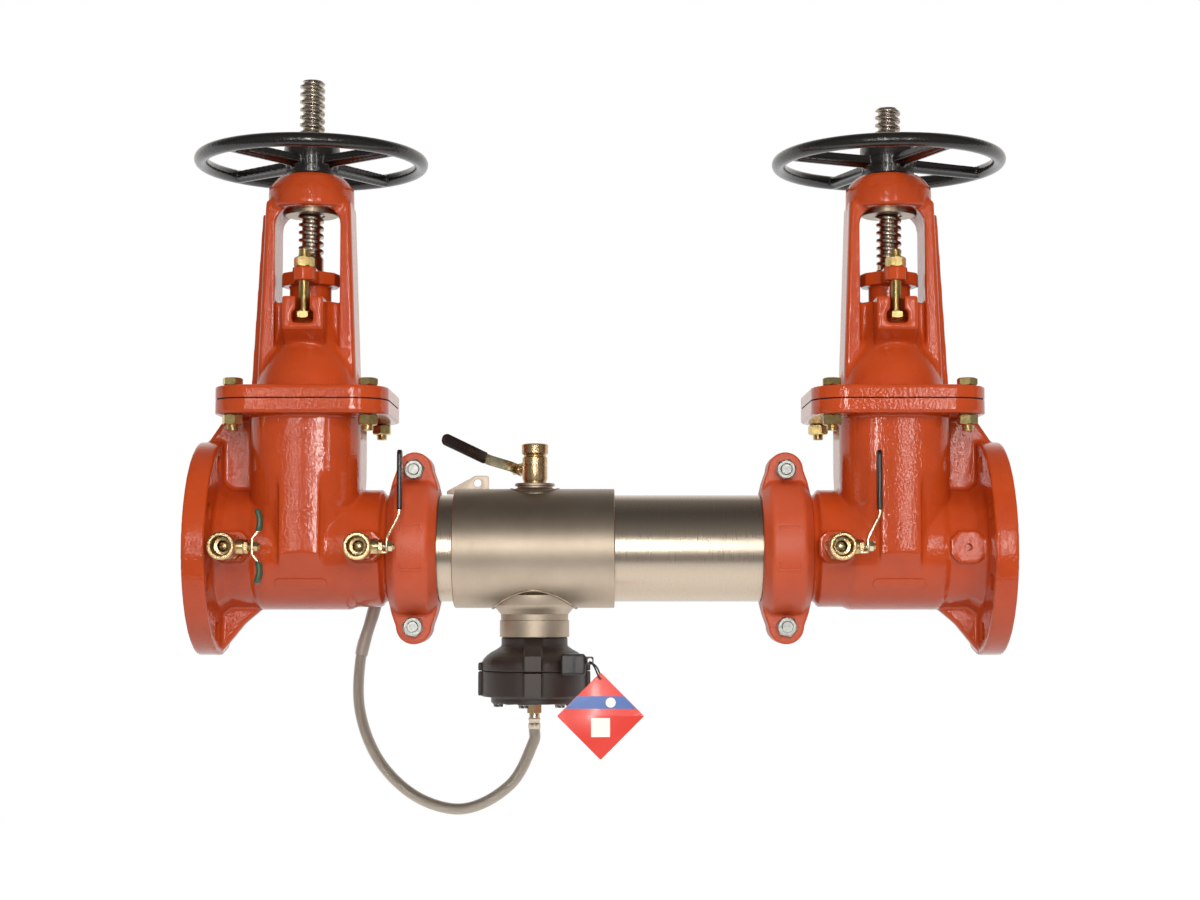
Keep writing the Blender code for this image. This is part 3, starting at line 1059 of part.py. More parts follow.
    disc_top = RELIEF_SEAT_Z - GAP
    spindle = turned("relief_spindle", solid_profile([
        (RELIEF_DISC_R, disc_top), (RELIEF_DISC_R, disc_top - RELIEF_DISC_T), (RELIEF_ROD_R, disc_top - RELIEF_DISC_T),
        (RELIEF_ROD_R, PLATE_Z), (PLATE_R, PLATE_Z), (PLATE_R, PLATE_Z - PLATE_T),
    ]), "Z", place, SMALL_SIDES)
    finish(spindle, "relief_spindle", CHECK_PLASTIC)

    wire = 0.0011
    coil_r = 0.014
    per_turn = 8
    high = RELIEF_SPLIT_Z - GAP - wire - 0.0002
    deep = PLATE_Z + GAP + wire
    count = RELIEF_SPRING_TURNS * per_turn
    coil = []
    for index in range(count + 1):
        angle = 2 * math.pi * index / per_turn
        coil.append((coil_r * math.cos(angle), coil_r * math.sin(angle), deep + (high - deep) * index / count))
    finish(tube("relief_spring", coil, wire, 0, place), "relief_spring", STAINLESS)


def relief_ear():
    """One of the square ears round the joint of body and cover, seen from above."""
    half = RELIEF_EAR_WIDTH / 2
    return [(0.048, -half), (RELIEF_EAR_REACH, -half), (RELIEF_EAR_REACH, half), (0.048, half)]


def cock_body(name, place, reach, side_turn):
    """A ball-valve test cock. Its own +Z is the flow axis and its own +X is the stem's side."""
    end = reach + COCK_STEM_TO_END
    shank_r = TAP_R - 2 * GAP
    cavity_r = COCK_BALL_R + 3 * GAP
    body = turned(name, [
        (COCK_END_R, end), (COCK_END_R, end - 0.010), (COCK_WAIST_R, end - 0.0125),
        (COCK_BODY_R, end - 0.0165), (COCK_BODY_R, reach - 0.0135), (TAP_R + 0.002, reach - 0.0150),
        (TAP_R + 0.002, GAP), (shank_r, GAP), (shank_r, GAP - TAP_DEPTH + 0.0005),
        (COCK_BORE_R, GAP - TAP_DEPTH + 0.0005), (COCK_BORE_R, reach - COCK_BALL_R - GAP),
        (cavity_r, reach - COCK_BALL_R + 0.002), (cavity_r, reach + COCK_BALL_R - 0.002),
        (COCK_BORE_R, reach + COCK_BALL_R + GAP), (COCK_BORE_R, end - 0.014), (COCK_BALL_R, end - 0.012),
        (COCK_BALL_R, end),
    ], steps=SMALL_SIDES, ring=True)
    boss = rod(name + "_boss", 0.0078, COCK_BALL_R + 0.0022, 0.0195, "X", (0.0, 0.0, reach), BOLT_SIDES)
    nut = hexagon(name + "_gland_nut", 0.0125, 0.0190, 0.0240, "X", (0.0, 0.0, reach))
    fuse(body, boss, nut)
    hole = rod(name + "_stem_hole", COCK_STEM_R + 2 * GAP, 0.004, 0.04, "X", (0.0, 0.0, reach), BOLT_SIDES)
    cut(body, hole)
    turn = Matrix.Translation(place) @ side_turn
    for obj in (body, boss, nut, hole):
        obj.matrix_world = turn @ obj.matrix_world
    return finish(body, name, BRASS)


def bent_lever(name):
    """The long lever: hub, crank and vinyl grip. Its own +X is the lever and +Z the stem."""
    lift = COCK_LEVER_LIFT
    half_t = LEVER_T / 2
    top = lift + LEVER_OFFSET
    strip = plate(name + "_strip", [
        (-0.0065, lift - half_t), (0.0105, lift - half_t), (0.0335, top - half_t), (0.0400, top - half_t),
        (0.0400, top + half_t), (0.0320, top + half_t), (0.0090, lift + half_t), (-0.0065, lift + half_t),
    ], LEVER_WIDTH - 0.001, "XZ")
    grip = plate(name + "_grip", rounded([
        (0.036, -LEVER_WIDTH / 2, 0.0), (LEVER_LENGTH, -LEVER_WIDTH / 2, 0.005),
        (LEVER_LENGTH, LEVER_WIDTH / 2, 0.005), (0.036, LEVER_WIDTH / 2, 0.0),
    ]), GRIP_T, "XY", (0.0, 0.0, top))
    return [strip, grip]


def butterfly(name):
    """The short two-winged handle, bowed away from the cock."""
    lift = COCK_LEVER_LIFT
    half_t = LEVER_T / 2
    bow = 0.0065
    side = [(0.0080, 0.0), (0.0160, bow), (0.0280, bow + 0.001), (WING_LENGTH, bow - 0.003)]
    upper = [(u, lift + v + half_t) for u, v in side]
    lower = [(u, lift + v - half_t) for u, v in side]
    outline = upper + lower[::-1] + [(-u, v) for u, v in lower] + [(-u, v) for u, v in upper[::-1]]
    return [plate(name + "_wings", outline, LEVER_WIDTH - 0.001, "XZ")]


def cock_handle(name, place, turn, make_lever, material):
    """The handle with the stem and ball that turn with it, drawn as one solid."""
    bpy.ops.mesh.primitive_uv_sphere_add(segments=8, ring_count=6, radius=COCK_BALL_R)
    ball = bpy.context.object
    ball.name = name
    for holder in list(ball.users_collection):
        holder.objects.unlink(ball)
    PARTS.objects.link(ball)
    rods = [
        rod(name + "_stem", COCK_STEM_R, 0.004, COCK_LEVER_LIFT + 0.008, "Z", sides=BOLT_SIDES),
        hexagon(name + "_nut", 0.010, COCK_LEVER_LIFT + 0.0012, COCK_LEVER_LIFT + 0.0062),
    ]
    lever = make_lever(name)
    drill = rod(name + "_drill", COCK_BORE_R - 0.001, -0.02, 0.02, "X", sides=BOLT_SIDES)
    fuse(ball, *rods, *lever)
    cut(ball, drill)
    placing = Matrix.Translation(place) @ turn
    for obj in [ball, drill] + rods + lever:
        obj.matrix_world = placing @ obj.matrix_world
    return finish(ball, name, material)


def axes(x_axis, z_axis):
    """A turn that takes +X and +Z to two given square directions."""
    x_axis = Vector(x_axis).normalized()
    z_axis = Vector(z_axis).normalized()
    y_axis = z_axis.cross(x_axis)
    return Matrix((x_axis, y_axis, z_axis)).transposed().to_4x4()


def test_cocks():
    """Four test cocks: two on the inlet valve, one on the zone and one on the outlet valve."""
    outward = (0.0, -1.0, 0.0)
    side_cocks = (
        (1, INLET_PAD_X, butterfly, GREEN_VINYL),
        (2, OUTLET_PAD_X, bent_lever, BLACK_PLASTIC),
        (4, LAY_LENGTH - OUTLET_PAD_X, bent_lever, BLACK_PLASTIC),
    )
    for number, cock_x, make_lever, material in side_cocks:
        name = "test_cock_%d" % number
        cock_body(name + "_body", (cock_x, -PAD_Y, 0.0), COCK_LONG_REACH, axes((1.0, 0.0, 0.0), outward))
        ball_place = (cock_x, -PAD_Y - COCK_LONG_REACH, 0.0)
        cock_handle(name + "_handle", ball_place, axes((0.0, 0.0, 1.0), (1.0, 0.0, 0.0)), make_lever, material)
    angle = math.radians(TOP_STEM_DEG)
    rise = math.radians(TOP_LEVER_RISE_DEG)
    stem_way = Vector((math.cos(angle), math.sin(angle), 0.0))
    level = Vector((-math.sin(angle), math.cos(angle), 0.0))
    lever_way = level * math.cos(rise) + Vector((0.0, 0.0, math.sin(rise)))
    cock_body("test_cock_3_body", (BRANCH_X, 0.0, TOP_BOSS_Z), COCK_SHORT_REACH, axes(stem_way, (0.0, 0.0, 1.0)))
    ball_place = (BRANCH_X, 0.0, TOP_BOSS_Z + COCK_SHORT_REACH)
    cock_handle("test_cock_3_handle", ball_place, axes(lever_way, stem_way), bent_lever, BLACK_PLASTIC)


def hose_points():
    """The hose's centre line: a smooth curve through its route, read every two diameters."""
    route = [Vector((OUTLET_PAD_X + x, y, z)) for x, y, z in HOSE_ROUTE_FROM_ELBOW]
    stations = [0.0]
    for start, end in zip(route, route[1:]):
        stations.append(stations[-1] + (end - start).length)
    slopes = [(route[1] - route[0]).normalized()]
    for i in range(1, len(route) - 1):
        slopes.append((route[i + 1] - route[i - 1]) / (stations[i + 1] - stations[i - 1]))
    slopes.append((route[-1] - route[-2]).normalized())
    points = [route[0]]
    for i in range(len(route) - 1):
        span = stations[i + 1] - stations[i]
        pieces = max(1, round(span / (4 * HOSE_R)))
        for k in range(1, pieces + 1):
            t = k / pieces
            points.append(
                route[i] * (2 * t**3 - 3 * t**2 + 1) + slopes[i] * span * (t**3 - 2 * t**2 + t)
                + route[i + 1] * (3 * t**2 - 2 * t**3) + slopes[i + 1] * span * (t**3 - t**2)
            )
    return [tuple(point) for point in points]


def sensing_hose():
    """The braided hose from the relief valve's cover to the inlet side, with its two fittings."""
    finish(tube("sensing_hose", hose_points(), HOSE_R, 2), "sensing_hose", BRAID)

    place = (BRANCH_X, 0.0, 0.0)
    hex_low = RELIEF_FOOT_Z - GAP - 0.0115
    fitting = turned("hose_lower_fitting", solid_profile([
        (SENSE_PORT_R, RELIEF_FOOT_Z + 0.006), (SENSE_PORT_R, hex_low + 0.003),
        (HOSE_R - 0.001, hex_low + 0.001), (HOSE_R - 0.001, HOSE_TOP_Z + FERRULE_LENGTH),
        (FERRULE_R, HOSE_TOP_Z + FERRULE_LENGTH - 0.001), (FERRULE_R, HOSE_TOP_Z),
    ]), "Z", place, steps=SMALL_SIDES)
    fuse(fitting, hexagon("lower_hex", 0.0150, hex_low, RELIEF_FOOT_Z - GAP, "Z", place))
    finish(fitting, "hose_lower_fitting", BRASS)

    seat_z = HOSE_ROUTE_FROM_ELBOW[-1][2] + GAP
    arm = turned("hose_upper_fitting", solid_profile([
        (HOSE_R - 0.0005, -0.001), (HOSE_R - 0.0005, seat_z + FERRULE_LENGTH),
        (FERRULE_R, seat_z + FERRULE_LENGTH - 0.001), (FERRULE_R, seat_z),
    ]), "Z", (OUTLET_PAD_X, ELBOW_Y, 0.0), steps=SMALL_SIDES)
    knuckle = rod("upper_knuckle", 0.0085, -0.0085, 0.0085, "Y", (OUTLET_PAD_X, ELBOW_Y, 0.0))
    shank = rod("upper_shank", TAP_R - 2 * GAP, PAD_Y - TAP_DEPTH + 0.001, PAD_Y + 0.001, "Y",
                (OUTLET_PAD_X, 0.0, 0.0))
    hexed = hexagon("upper_hex", 0.0230, PAD_Y + GAP, ELBOW_Y - 0.0060, "Y", (OUTLET_PAD_X, 0.0, 0.0))
    fuse(arm, knuckle, shank, hexed)
    finish(arm, "hose_upper_fitting", BRASS)


def flood_sensor_and_tag():
    """The clip-on flood sensor and the blank diamond tag that hangs from its eyelet."""
    size = SENSOR_SIZE
    low = (SENSOR_X - size[0] / 2, SENSOR_Y, SENSOR_Z - size[2] / 2)
    high = (SENSOR_X + size[0] / 2, SENSOR_Y + size[1], SENSOR_Z + size[2] / 2)
    sensor = block("flood_sensor", low, high, soft=0.002)
    radial = Vector((SENSOR_X - 0.006 - BRANCH_X, SENSOR_Y + size[1], 0.0)).normalized()
    foot = Vector((BRANCH_X, 0.0, SENSOR_Z - 0.002)) + radial * (RELIEF_R + GAP)
    head = foot + radial * 0.014
    neck = tube("sensor_neck", [tuple(foot), tuple(head)], 0.0075, 2)
    fuse(sensor, neck)
    clear = turned("sensor_clear", solid_profile([
        (RELIEF_R + GAP, SENSOR_Z + 0.03), (RELIEF_R + GAP, SENSOR_Z - 0.03),
    ]), "Z", (BRANCH_X, 0.0, 0.0), PIPE_SIDES)
    cut(sensor, clear)
    eyelet_y = SENSOR_Y + 0.006
    eyelet = plate("eyelet", rounded_square(0.0048, 0.0042, 0.0015, 2), 0.0024, "XZ", (EYELET_X, eyelet_y, EYELET_Z))
    fuse(sensor, eyelet)
    cut(sensor, rod("eyelet_hole", EYELET_HOLE_R, -0.01, 0.01, "Y", (EYELET_X + 0.0010, eyelet_y, EYELET_Z), 12))
    finish(sensor, "flood_sensor", BLACK_PLASTIC)

    corner = TAG_SIDE / math.sqrt(2)
    middle_z = TAG_TOP_Z - corner
    tag = plate("hang_tag", rounded([
        (0.0, corner, 0.0015), (-corner, 0.0, 0.0015), (0.0, -corner, 0.0015), (corner, 0.0, 0.0015),
    ], 2), TAG_T, "XZ", (TAG_X, TAG_Y, middle_z))
    hole_z = TAG_TOP_Z - 0.006
    cut(tag, rod("tag_hole", 0.0016, -0.01, 0.01, "Y", (TAG_X, TAG_Y, hole_z - 0.002), 10))
    loop_z = EYELET_Z - EYELET_HOLE_R + TIE_R + GAP
    loop = [
        (EYELET_X + 0.0010, eyelet_y - 0.0045, loop_z), (EYELET_X + 0.0010, eyelet_y, loop_z),
        (EYELET_X + 0.0010, eyelet_y + 0.0035, loop_z), (EYELET_X + 0.0085, eyelet_y + 0.0030, EYELET_Z - 0.0060),
        (TAG_X + 0.0010, TAG_Y + 0.0030, hole_z), (TAG_X, TAG_Y, hole_z), (TAG_X - 0.0016, TAG_Y - 0.0030, hole_z + 0.0020),
        (EYELET_X + 0.0050, eyelet_y - 0.0075, EYELET_Z - 0.0050),
    ]
    fuse(tag, tube("tag_tie", loop, TIE_R, 0, closed=True))
    hang(finish(tag, "hang_tag", TAG_RED), (EYELET_X + 0.0010, eyelet_y, loop_z))


def build():
    gate_valve(
        "inlet_", 0.0, 0.0, INLET_OPENING, -INLET_SPOKE_DEG,
        [(INLET_PAD_X, -1), (OUTLET_PAD_X, -1), (OUTLET_PAD_X, 1)],
    )
    gate_valve(
        "outlet_", LAY_LENGTH, 180.0, 0.0, 180.0 - OUTLET_SPOKE_DEG, [(OUTLET_PAD_X, 1)],
    )
    joint_x = VALVE_LENGTH + PIPE_JOINT_GAP / 2
    coupling("inlet_", joint_x)
    coupling("outlet_", LAY_LENGTH - joint_x)
    zone_body()
    check_valve("check_1_", CHECK_1_X)
    check_valve("check_2_", CHECK_2_X)
    relief_valve()
    test_cocks()
    sensing_hose()
    flood_sensor_and_tag()


build()
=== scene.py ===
"""Looks of a reduced-pressure backflow preventer with its two gate valves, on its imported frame."""

import math

import bmesh
import bpy
from mathutils import Matrix, Vector


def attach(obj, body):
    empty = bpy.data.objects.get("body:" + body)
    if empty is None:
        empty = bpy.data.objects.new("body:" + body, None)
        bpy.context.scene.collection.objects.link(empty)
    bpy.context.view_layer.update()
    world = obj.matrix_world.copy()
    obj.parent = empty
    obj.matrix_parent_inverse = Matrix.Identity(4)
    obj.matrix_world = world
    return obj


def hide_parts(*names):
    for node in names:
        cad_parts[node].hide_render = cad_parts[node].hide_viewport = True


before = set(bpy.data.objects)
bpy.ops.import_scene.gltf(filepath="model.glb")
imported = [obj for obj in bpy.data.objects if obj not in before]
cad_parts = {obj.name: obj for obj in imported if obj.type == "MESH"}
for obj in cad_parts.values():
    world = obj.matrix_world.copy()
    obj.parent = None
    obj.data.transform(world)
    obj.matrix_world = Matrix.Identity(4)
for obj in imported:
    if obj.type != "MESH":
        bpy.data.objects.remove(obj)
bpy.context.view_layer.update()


# The camera stands 2.18 m in front of the middle of the line, a little below the pipe,
# and looks 3.9 degrees up, which is where the photograph was taken from.
MIDDLE_X = 0.4286
CAMERA_Y = -2.184
CAMERA_Z = -0.0425
CAMERA_PITCH = 0.068
FOCAL_PIXELS = 2025.0
PHOTO_WIDTH = 1200.0

camera_data = bpy.data.cameras.new("camera")
camera_data.sensor_width = 36.0
camera_data.lens = camera_data.sensor_width * FOCAL_PIXELS / PHOTO_WIDTH
camera_data.clip_start = 0.05
camera = bpy.data.objects.new("camera", camera_data)
camera.location = (MIDDLE_X, CAMERA_Y, CAMERA_Z)
camera.rotation_euler = (math.pi / 2 + CAMERA_PITCH, 0.0, 0.0)
bpy.context.scene.collection.objects.link(camera)
bpy.context.scene.camera = camera
bpy.context.scene.view_settings.view_transform = "Standard"


# The sensing hose carries inlet pressure to the relief valve: a rubber tube in a sleeve of
# woven stainless wire, crimped at both ends. It leaves the relief valve's cover straight down
# and climbs behind the inlet coupling to a brass elbow at the back of the inlet valve.
HOSE_R = 0.006
BRANCH_X = 0.3583
ELBOW_X = 0.182
ELBOW_Y = 0.088
HOSE_ROUTE = [
    (BRANCH_X, 0.0, -0.1933), (BRANCH_X, 0.0, -0.205), (0.333, 0.007, -0.2522), (0.283, 0.0212, -0.2799),
    (0.231, 0.0385, -0.27), (0.187, 0.058, -0.233), (0.163, 0.075, -0.18), (0.1615, 0.0865, -0.122),
    (0.1745, ELBOW_Y, -0.072), (ELBOW_X, ELBOW_Y, -0.0445), (ELBOW_X, ELBOW_Y, -0.0325),
]
BRAID_BUNDLES = 14
BRAID_LAY = 0.019


def linear(code):
    """Turns an sRGB hex colour into the linear values that Blender's shaders take."""
    values = [int(code[i:i + 2], 16) / 255 for i in (1, 3, 5)]
    return tuple(v / 12.92 if v <= 0.04045 else ((v + 0.055) / 1.055) ** 2.4 for v in values) + (1.0,)


def add(tree, kind, inputs=None, **settings):
    """Adds one node, with its settings, and its inputs as numbers, colours or links."""
    node = tree.nodes.new("ShaderNode" + kind)
    for key, value in settings.items():
        setattr(node, key, value)
    for key, value in (inputs or {}).items():
        if isinstance(value, bpy.types.NodeSocket):
            tree.links.new(value, node.inputs[key])
        else:
            node.inputs[key].default_value = value
    return node


def substance(name, color, **values):
    """A new material with its uniform values set straight on the Principled shader's sockets."""
    made = bpy.data.materials.new(name)
    made.use_nodes = True
    shader = made.node_tree.nodes["Principled BSDF"]
    shader.inputs["Base Color"].default_value = linear(color)
    for key, value in values.items():
        shader.inputs[key.replace("_", " ").title().replace("Ior", "IOR")].default_value = value
    return made, made.node_tree, shader


def two_tones(tree, shader, factor, first, second, socket="Base Color"):
    """Colours a socket by a pattern that runs between two sRGB tones."""
    mix = add(tree, "Mix", {"Factor": factor}, data_type="RGBA")
    mix.inputs["A"].default_value = linear(first)
    mix.inputs["B"].default_value = linear(second)
    tree.links.new(mix.outputs["Result"], shader.inputs[socket])


def noise(tree, scale, detail, roughness=0.5):
    """A noise over the piece's own coordinates, with its scale in bumps per metre."""
    where = add(tree, "TexCoord")
    inputs = {"Vector": where.outputs["Object"], "Scale": scale, "Detail": detail, "Roughness": roughness}
    return add(tree, "TexNoise", inputs).outputs["Fac"]


def worn(tree, shader, pattern, low, high):
    """Lets the roughness follow a pattern between two values."""
    spread = add(tree, "MapRange", {"Value": pattern, "To Min": low, "To Max": high})
    tree.links.new(spread.outputs["Result"], shader.inputs["Roughness"])


def figure(tree, operation, *values, **settings):
    """One step of arithmetic on numbers or links."""
    return add(tree, "Math", dict(enumerate(values)), operation=operation, **settings).outputs[0]


def relief(tree, shader, height, depth):
    """Gives the surface a bump of a real depth in metres."""
    bump = add(tree, "Bump", {"Height": height, "Distance": depth, "Strength": 1.0})
    tree.links.new(bump.outputs["Normal"], shader.inputs["Normal"])


def surface(name, color, grain, tones=None, spread=None, depth=None, **values):
    """A material whose tones, roughness and bump follow one noise of (scale, detail, roughness)."""
    made, tree, shader = substance(name, color, **values)
    pattern = noise(tree, *grain)
    if tones:
        two_tones(tree, shader, pattern, *tones)
    if spread:
        worn(tree, shader, pattern, *spread)
    if depth:
        relief(tree, shader, pattern, depth)
    return made


def link(obj):
    bpy.context.scene.collection.objects.link(obj)
    return obj


def solid(name, form, place=None):
    """An object with the mesh that was drawn in a bmesh, turned and moved to its place."""
    mesh = bpy.data.meshes.new(name)
    form.to_mesh(mesh)
    form.free()
    if place is not None:
        mesh.transform(place)
    return link(bpy.data.objects.new(name, mesh))


def settled(obj):
    """Applies the object's modifiers to its mesh."""
    bpy.context.view_layer.update()
    shape = bpy.data.meshes.new_from_object(obj.evaluated_get(bpy.context.evaluated_depsgraph_get()))
    obj.modifiers.clear()
    obj.data = shape
    return obj


def crisp(obj, degrees=35.0):
    """Shades the piece smooth, with edges sharper than an angle kept sharp."""
    obj.data.shade_smooth()
    obj.data.set_sharp_from_angle(angle=math.radians(degrees))
    return obj


def fit(obj, made, body, slot, *nodes):
    """Gives a piece its material, sets it on its body and hides the CAD nodes it stands for."""
    obj.data.materials.clear()
    obj.data.materials.append(made)
    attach(obj, body)
    if nodes:
        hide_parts(*nodes)
    return obj


def smooth_route(route, spacing):
    """Points along a smooth curve through a route, no further apart than the spacing."""
    knots = [Vector(point) for point in route]
    spans = [(b - a).length for a, b in zip(knots, knots[1:])]
    slopes = [(knots[1] - knots[0]).normalized()]
    for i in range(1, len(knots) - 1):
        slopes.append((knots[i + 1] - knots[i - 1]) / (spans[i] + spans[i - 1]))
    slopes.append((knots[-1] - knots[-2]).normalized())
    points = [knots[0]]
    for i, span in enumerate(spans):
        pieces = max(1, round(span / spacing))
        for k in range(1, pieces + 1):
            t = k / pieces
            points.append(
                knots[i] * (2 * t**3 - 3 * t**2 + 1) + slopes[i] * span * (t**3 - 2 * t**2 + t)
                + knots[i + 1] * (3 * t**2 - 2 * t**3) + slopes[i + 1] * span * (t**3 - t**2)
            )
    return points


def sleeve(name, points, radius, sides=20):
    """A round tube along points, closed at both ends, with its turns and metres as UVs."""
    directions = [(b - a).normalized() for a, b in zip(points, points[1:])]
    directions.append(directions[-1])
    across = directions[0].orthogonal().normalized()
    form = bmesh.new()
    layer = form.loops.layers.uv.new("along")
    rings, lengths, done = [], [], 0.0
    for i, (point, way) in enumerate(zip(points, directions)):
        across = (across - way * across.dot(way)).normalized()
        other = way.cross(across)
        size = radius(done) if callable(radius) else radius
        turns = [2 * math.pi * k / sides for k in range(sides)]
        rings.append([form.verts.new(point + (across * math.cos(a) + other * math.sin(a)) * size) for a in turns])
        lengths.append(done)
        if i + 1 < len(points):
            done += (points[i + 1] - point).length
    for i in range(len(rings) - 1):
        for k in range(sides):
            n = (k + 1) % sides
            face = form.faces.new((rings[i][k], rings[i][n], rings[i + 1][n], rings[i + 1][k]))
            marks = ((k, i), (k + 1, i), (k + 1, i + 1), (k, i + 1))
            for loop, (turn, ring) in zip(face.loops, marks):
                loop[layer].uv = (turn / sides, lengths[ring])
    form.faces.new(rings[0][::-1])
    form.faces.new(rings[-1])
    return solid(name, form)


# Bright drawn wire lies in flat bundles that pass over and under each other at 45 degrees,
# in a fine diamond weave. The gaps between the bundles are painted dark as shade, following the weave's height.
braid, tree, shader = substance("woven_stainless_wire", "#B5A999", metallic=1.0, roughness=0.34)
weave = add(tree, "UVMap", uv_map="along")
parts = add(tree, "SeparateXYZ", {"Vector": weave.outputs["UV"]})
rounds = figure(tree, "MULTIPLY", parts.outputs["X"], BRAID_BUNDLES)
laps = figure(tree, "MULTIPLY", parts.outputs["Y"], BRAID_BUNDLES / BRAID_LAY)
ridges = []
for sign in ("ADD", "SUBTRACT"):
    angle = figure(tree, "MULTIPLY", figure(tree, sign, rounds, laps), 2 * math.pi)
    ridges.append(figure(tree, "SINE", angle))
over = figure(tree, "MAXIMUM", *ridges)
level = add(tree, "MapRange", {"Value": over, "From Min": -1.0, "From Max": 1.0}).outputs["Result"]
# Painted shade: the tone follows the weave's height, darkest in the gaps between the bundles.
two_tones(tree, shader, level, "#4A423A", "#D9D0C2")
relief(tree, shader, level, 0.0007)

hose_path = smooth_route(HOSE_ROUTE, 0.0025)
hose = crisp(sleeve("sensing_hose_braid", hose_path, HOSE_R, 24))


# The hose's ends are stainless ferrules, crimped in narrow bands. The lower one turns in a
# brass nipple that screws into the cover, the upper one in a brass elbow behind the inlet valve.
FERRULE_R = 0.0066
FERRULE_LENGTH = 0.016
COVER_FOOT_Z = -0.165
TAP_R = 0.0105
PAD_Y = 0.0705


def lathe(name, outline, steps=64, place=None):
    """A closed solid turned about +Z from (radius, height) points, the outer side from the top down."""
    form = bmesh.new()
    rings = []
    for radius, height in outline:
        if radius < 1e-7:
            rings.append([form.verts.new((0.0, 0.0, height))])
            continue
        turns = [2 * math.pi * k / steps for k in range(steps)]
        rings.append([form.verts.new((radius * math.cos(a), radius * math.sin(a), height)) for a in turns])
    loops = list(zip(rings, rings[1:]))
    if len(rings[0]) > 1:
        loops.append((rings[-1], rings[0]))
    for upper, lower in loops:
        for k in range(steps):
            n = (k + 1) % steps
            corners = [upper[k % len(upper)], upper[n % len(upper)], lower[n % len(lower)], lower[k % len(lower)]]
            corners = [c for i, c in enumerate(corners) if c is not corners[i - 1]]
            if len(corners) > 2:
                form.faces.new(corners)
    bmesh.ops.recalc_face_normals(form, faces=form.faces)
    return solid(name, form, place)


def mirrored(half):
    """An outline's half, followed by its mirror image below zero."""
    return half + [(radius, -height) for radius, height in half[::-1]]


def turned(name, outer, steps=64, place=None):
    """A turned solid with no hole, from its outer side alone."""
    return lathe(name, [(0.0, outer[0][1])] + outer + [(0.0, outer[-1][1])], steps, place)


def rod(name, radius, high, low, steps=64, place=None):
    return turned(name, [(radius, high), (radius, low)], steps, place)


def prism(name, outline, low, high, place=None):
    """A closed solid with a flat outline in X and Y, from low to high along Z."""
    form = bmesh.new()
    bottom = [form.verts.new((u, v, low)) for u, v in outline]
    top = [form.verts.new((u, v, high)) for u, v in outline]
    form.faces.new(bottom[::-1])
    form.faces.new(top)
    count = len(outline)
    for i in range(count):
        n = (i + 1) % count
        form.faces.new((bottom[i], bottom[n], top[n], top[i]))
    bmesh.ops.recalc_face_normals(form, faces=form.faces)
    return solid(name, form, place)


def shift(x=0.0, y=0.0, z=0.0):
    return Matrix.Translation((x, y, z))


ALONG_X = Matrix.Rotation(math.pi / 2, 4, "Y")
ALONG_Y = Matrix.Rotation(-math.pi / 2, 4, "X")
FRONT_VIEW = Matrix.Rotation(math.pi / 2, 4, "X")


def joined(name, pieces):
    """Puts several objects' meshes into the first one."""
    form = bmesh.new()
    for piece in pieces:
        form.from_mesh(piece.data)
        bpy.data.objects.remove(piece)
    return solid(name, form)


def eased(obj, width, segments=2):
    """Takes the sharpness off a machined or moulded piece's edges."""
    bevel = obj.modifiers.new("eased edges", "BEVEL")
    bevel.width = width
    bevel.segments = segments
    bevel.limit_method = "ANGLE"
    bevel.angle_limit = math.radians(30.0)
    bevel.harden_normals = False
    return crisp(settled(obj), 50.0)


def hexagon(name, flats, low, high, place=None):
    """A six-sided nut or head whose corners are turned down at both faces."""
    corner = flats / math.sqrt(3)
    turn = 0.075 * flats
    sides = [2 * math.pi * (k + 0.5) / 6 for k in range(6)]
    body = prism(name, [(corner * math.cos(a), corner * math.sin(a)) for a in sides], low, high)
    rounded_off = turned(name + "_turning", [
        (flats * 0.47, high), (corner, high - turn), (corner, low + turn), (flats * 0.47, low),
    ], 48)
    meet = body.modifiers.new("turned corners", "BOOLEAN")
    meet.operation = "INTERSECT"
    meet.solver = "EXACT"
    meet.object = rounded_off
    settled(body)
    bpy.data.objects.remove(rounded_off)
    if place is not None:
        body.data.transform(place)
    return crisp(body, 28.0)


# Drawn 304 stainless tube, pressed into bands by the crimping jaws.
crimped = surface("drawn_stainless_tube", "#C8BCAB", (900.0, 3.0), spread=(0.18, 0.36), metallic=1.0,
                  roughness=0.24)


def ferrule(name, place):
    """A crimped ferrule from its mouth at 0 up to its shoulder, with a pressed band and a collar."""
    r = FERRULE_R
    length = FERRULE_LENGTH
    return crisp(lathe(name, [
        (HOSE_R - 0.0012, length + 0.001), (r - 0.0014, length + 0.001), (r - 0.0009, length - 0.0004),
        (r - 0.0009, length - 0.004), (r - 0.0001, length - 0.0048), (r - 0.0001, length - 0.006),
        (r - 0.0007, length - 0.0068), (r - 0.0007, length - 0.01), (r, length - 0.0108),
        (r, 0.0008), (r - 0.0004, 0.0), (HOSE_R - 0.0005, 0.0), (HOSE_R - 0.0012, length * 0.5),
    ], 40, place), 40.0)


# Forged and turned brass: warm yellow, bright where the tool has cut it, duller on the forged skin.
brass, tree, shader = substance("turned_brass", "#CBB083", metallic=1.0, roughness=0.25)
cloud = noise(tree, 160.0, 4.0, 0.6)
two_tones(tree, shader, cloud, "#9C7B4C", "#E6CFA3")
worn(tree, shader, cloud, 0.36, 0.16)
relief(tree, shader, noise(tree, 1800.0, 2.0), 0.00008)

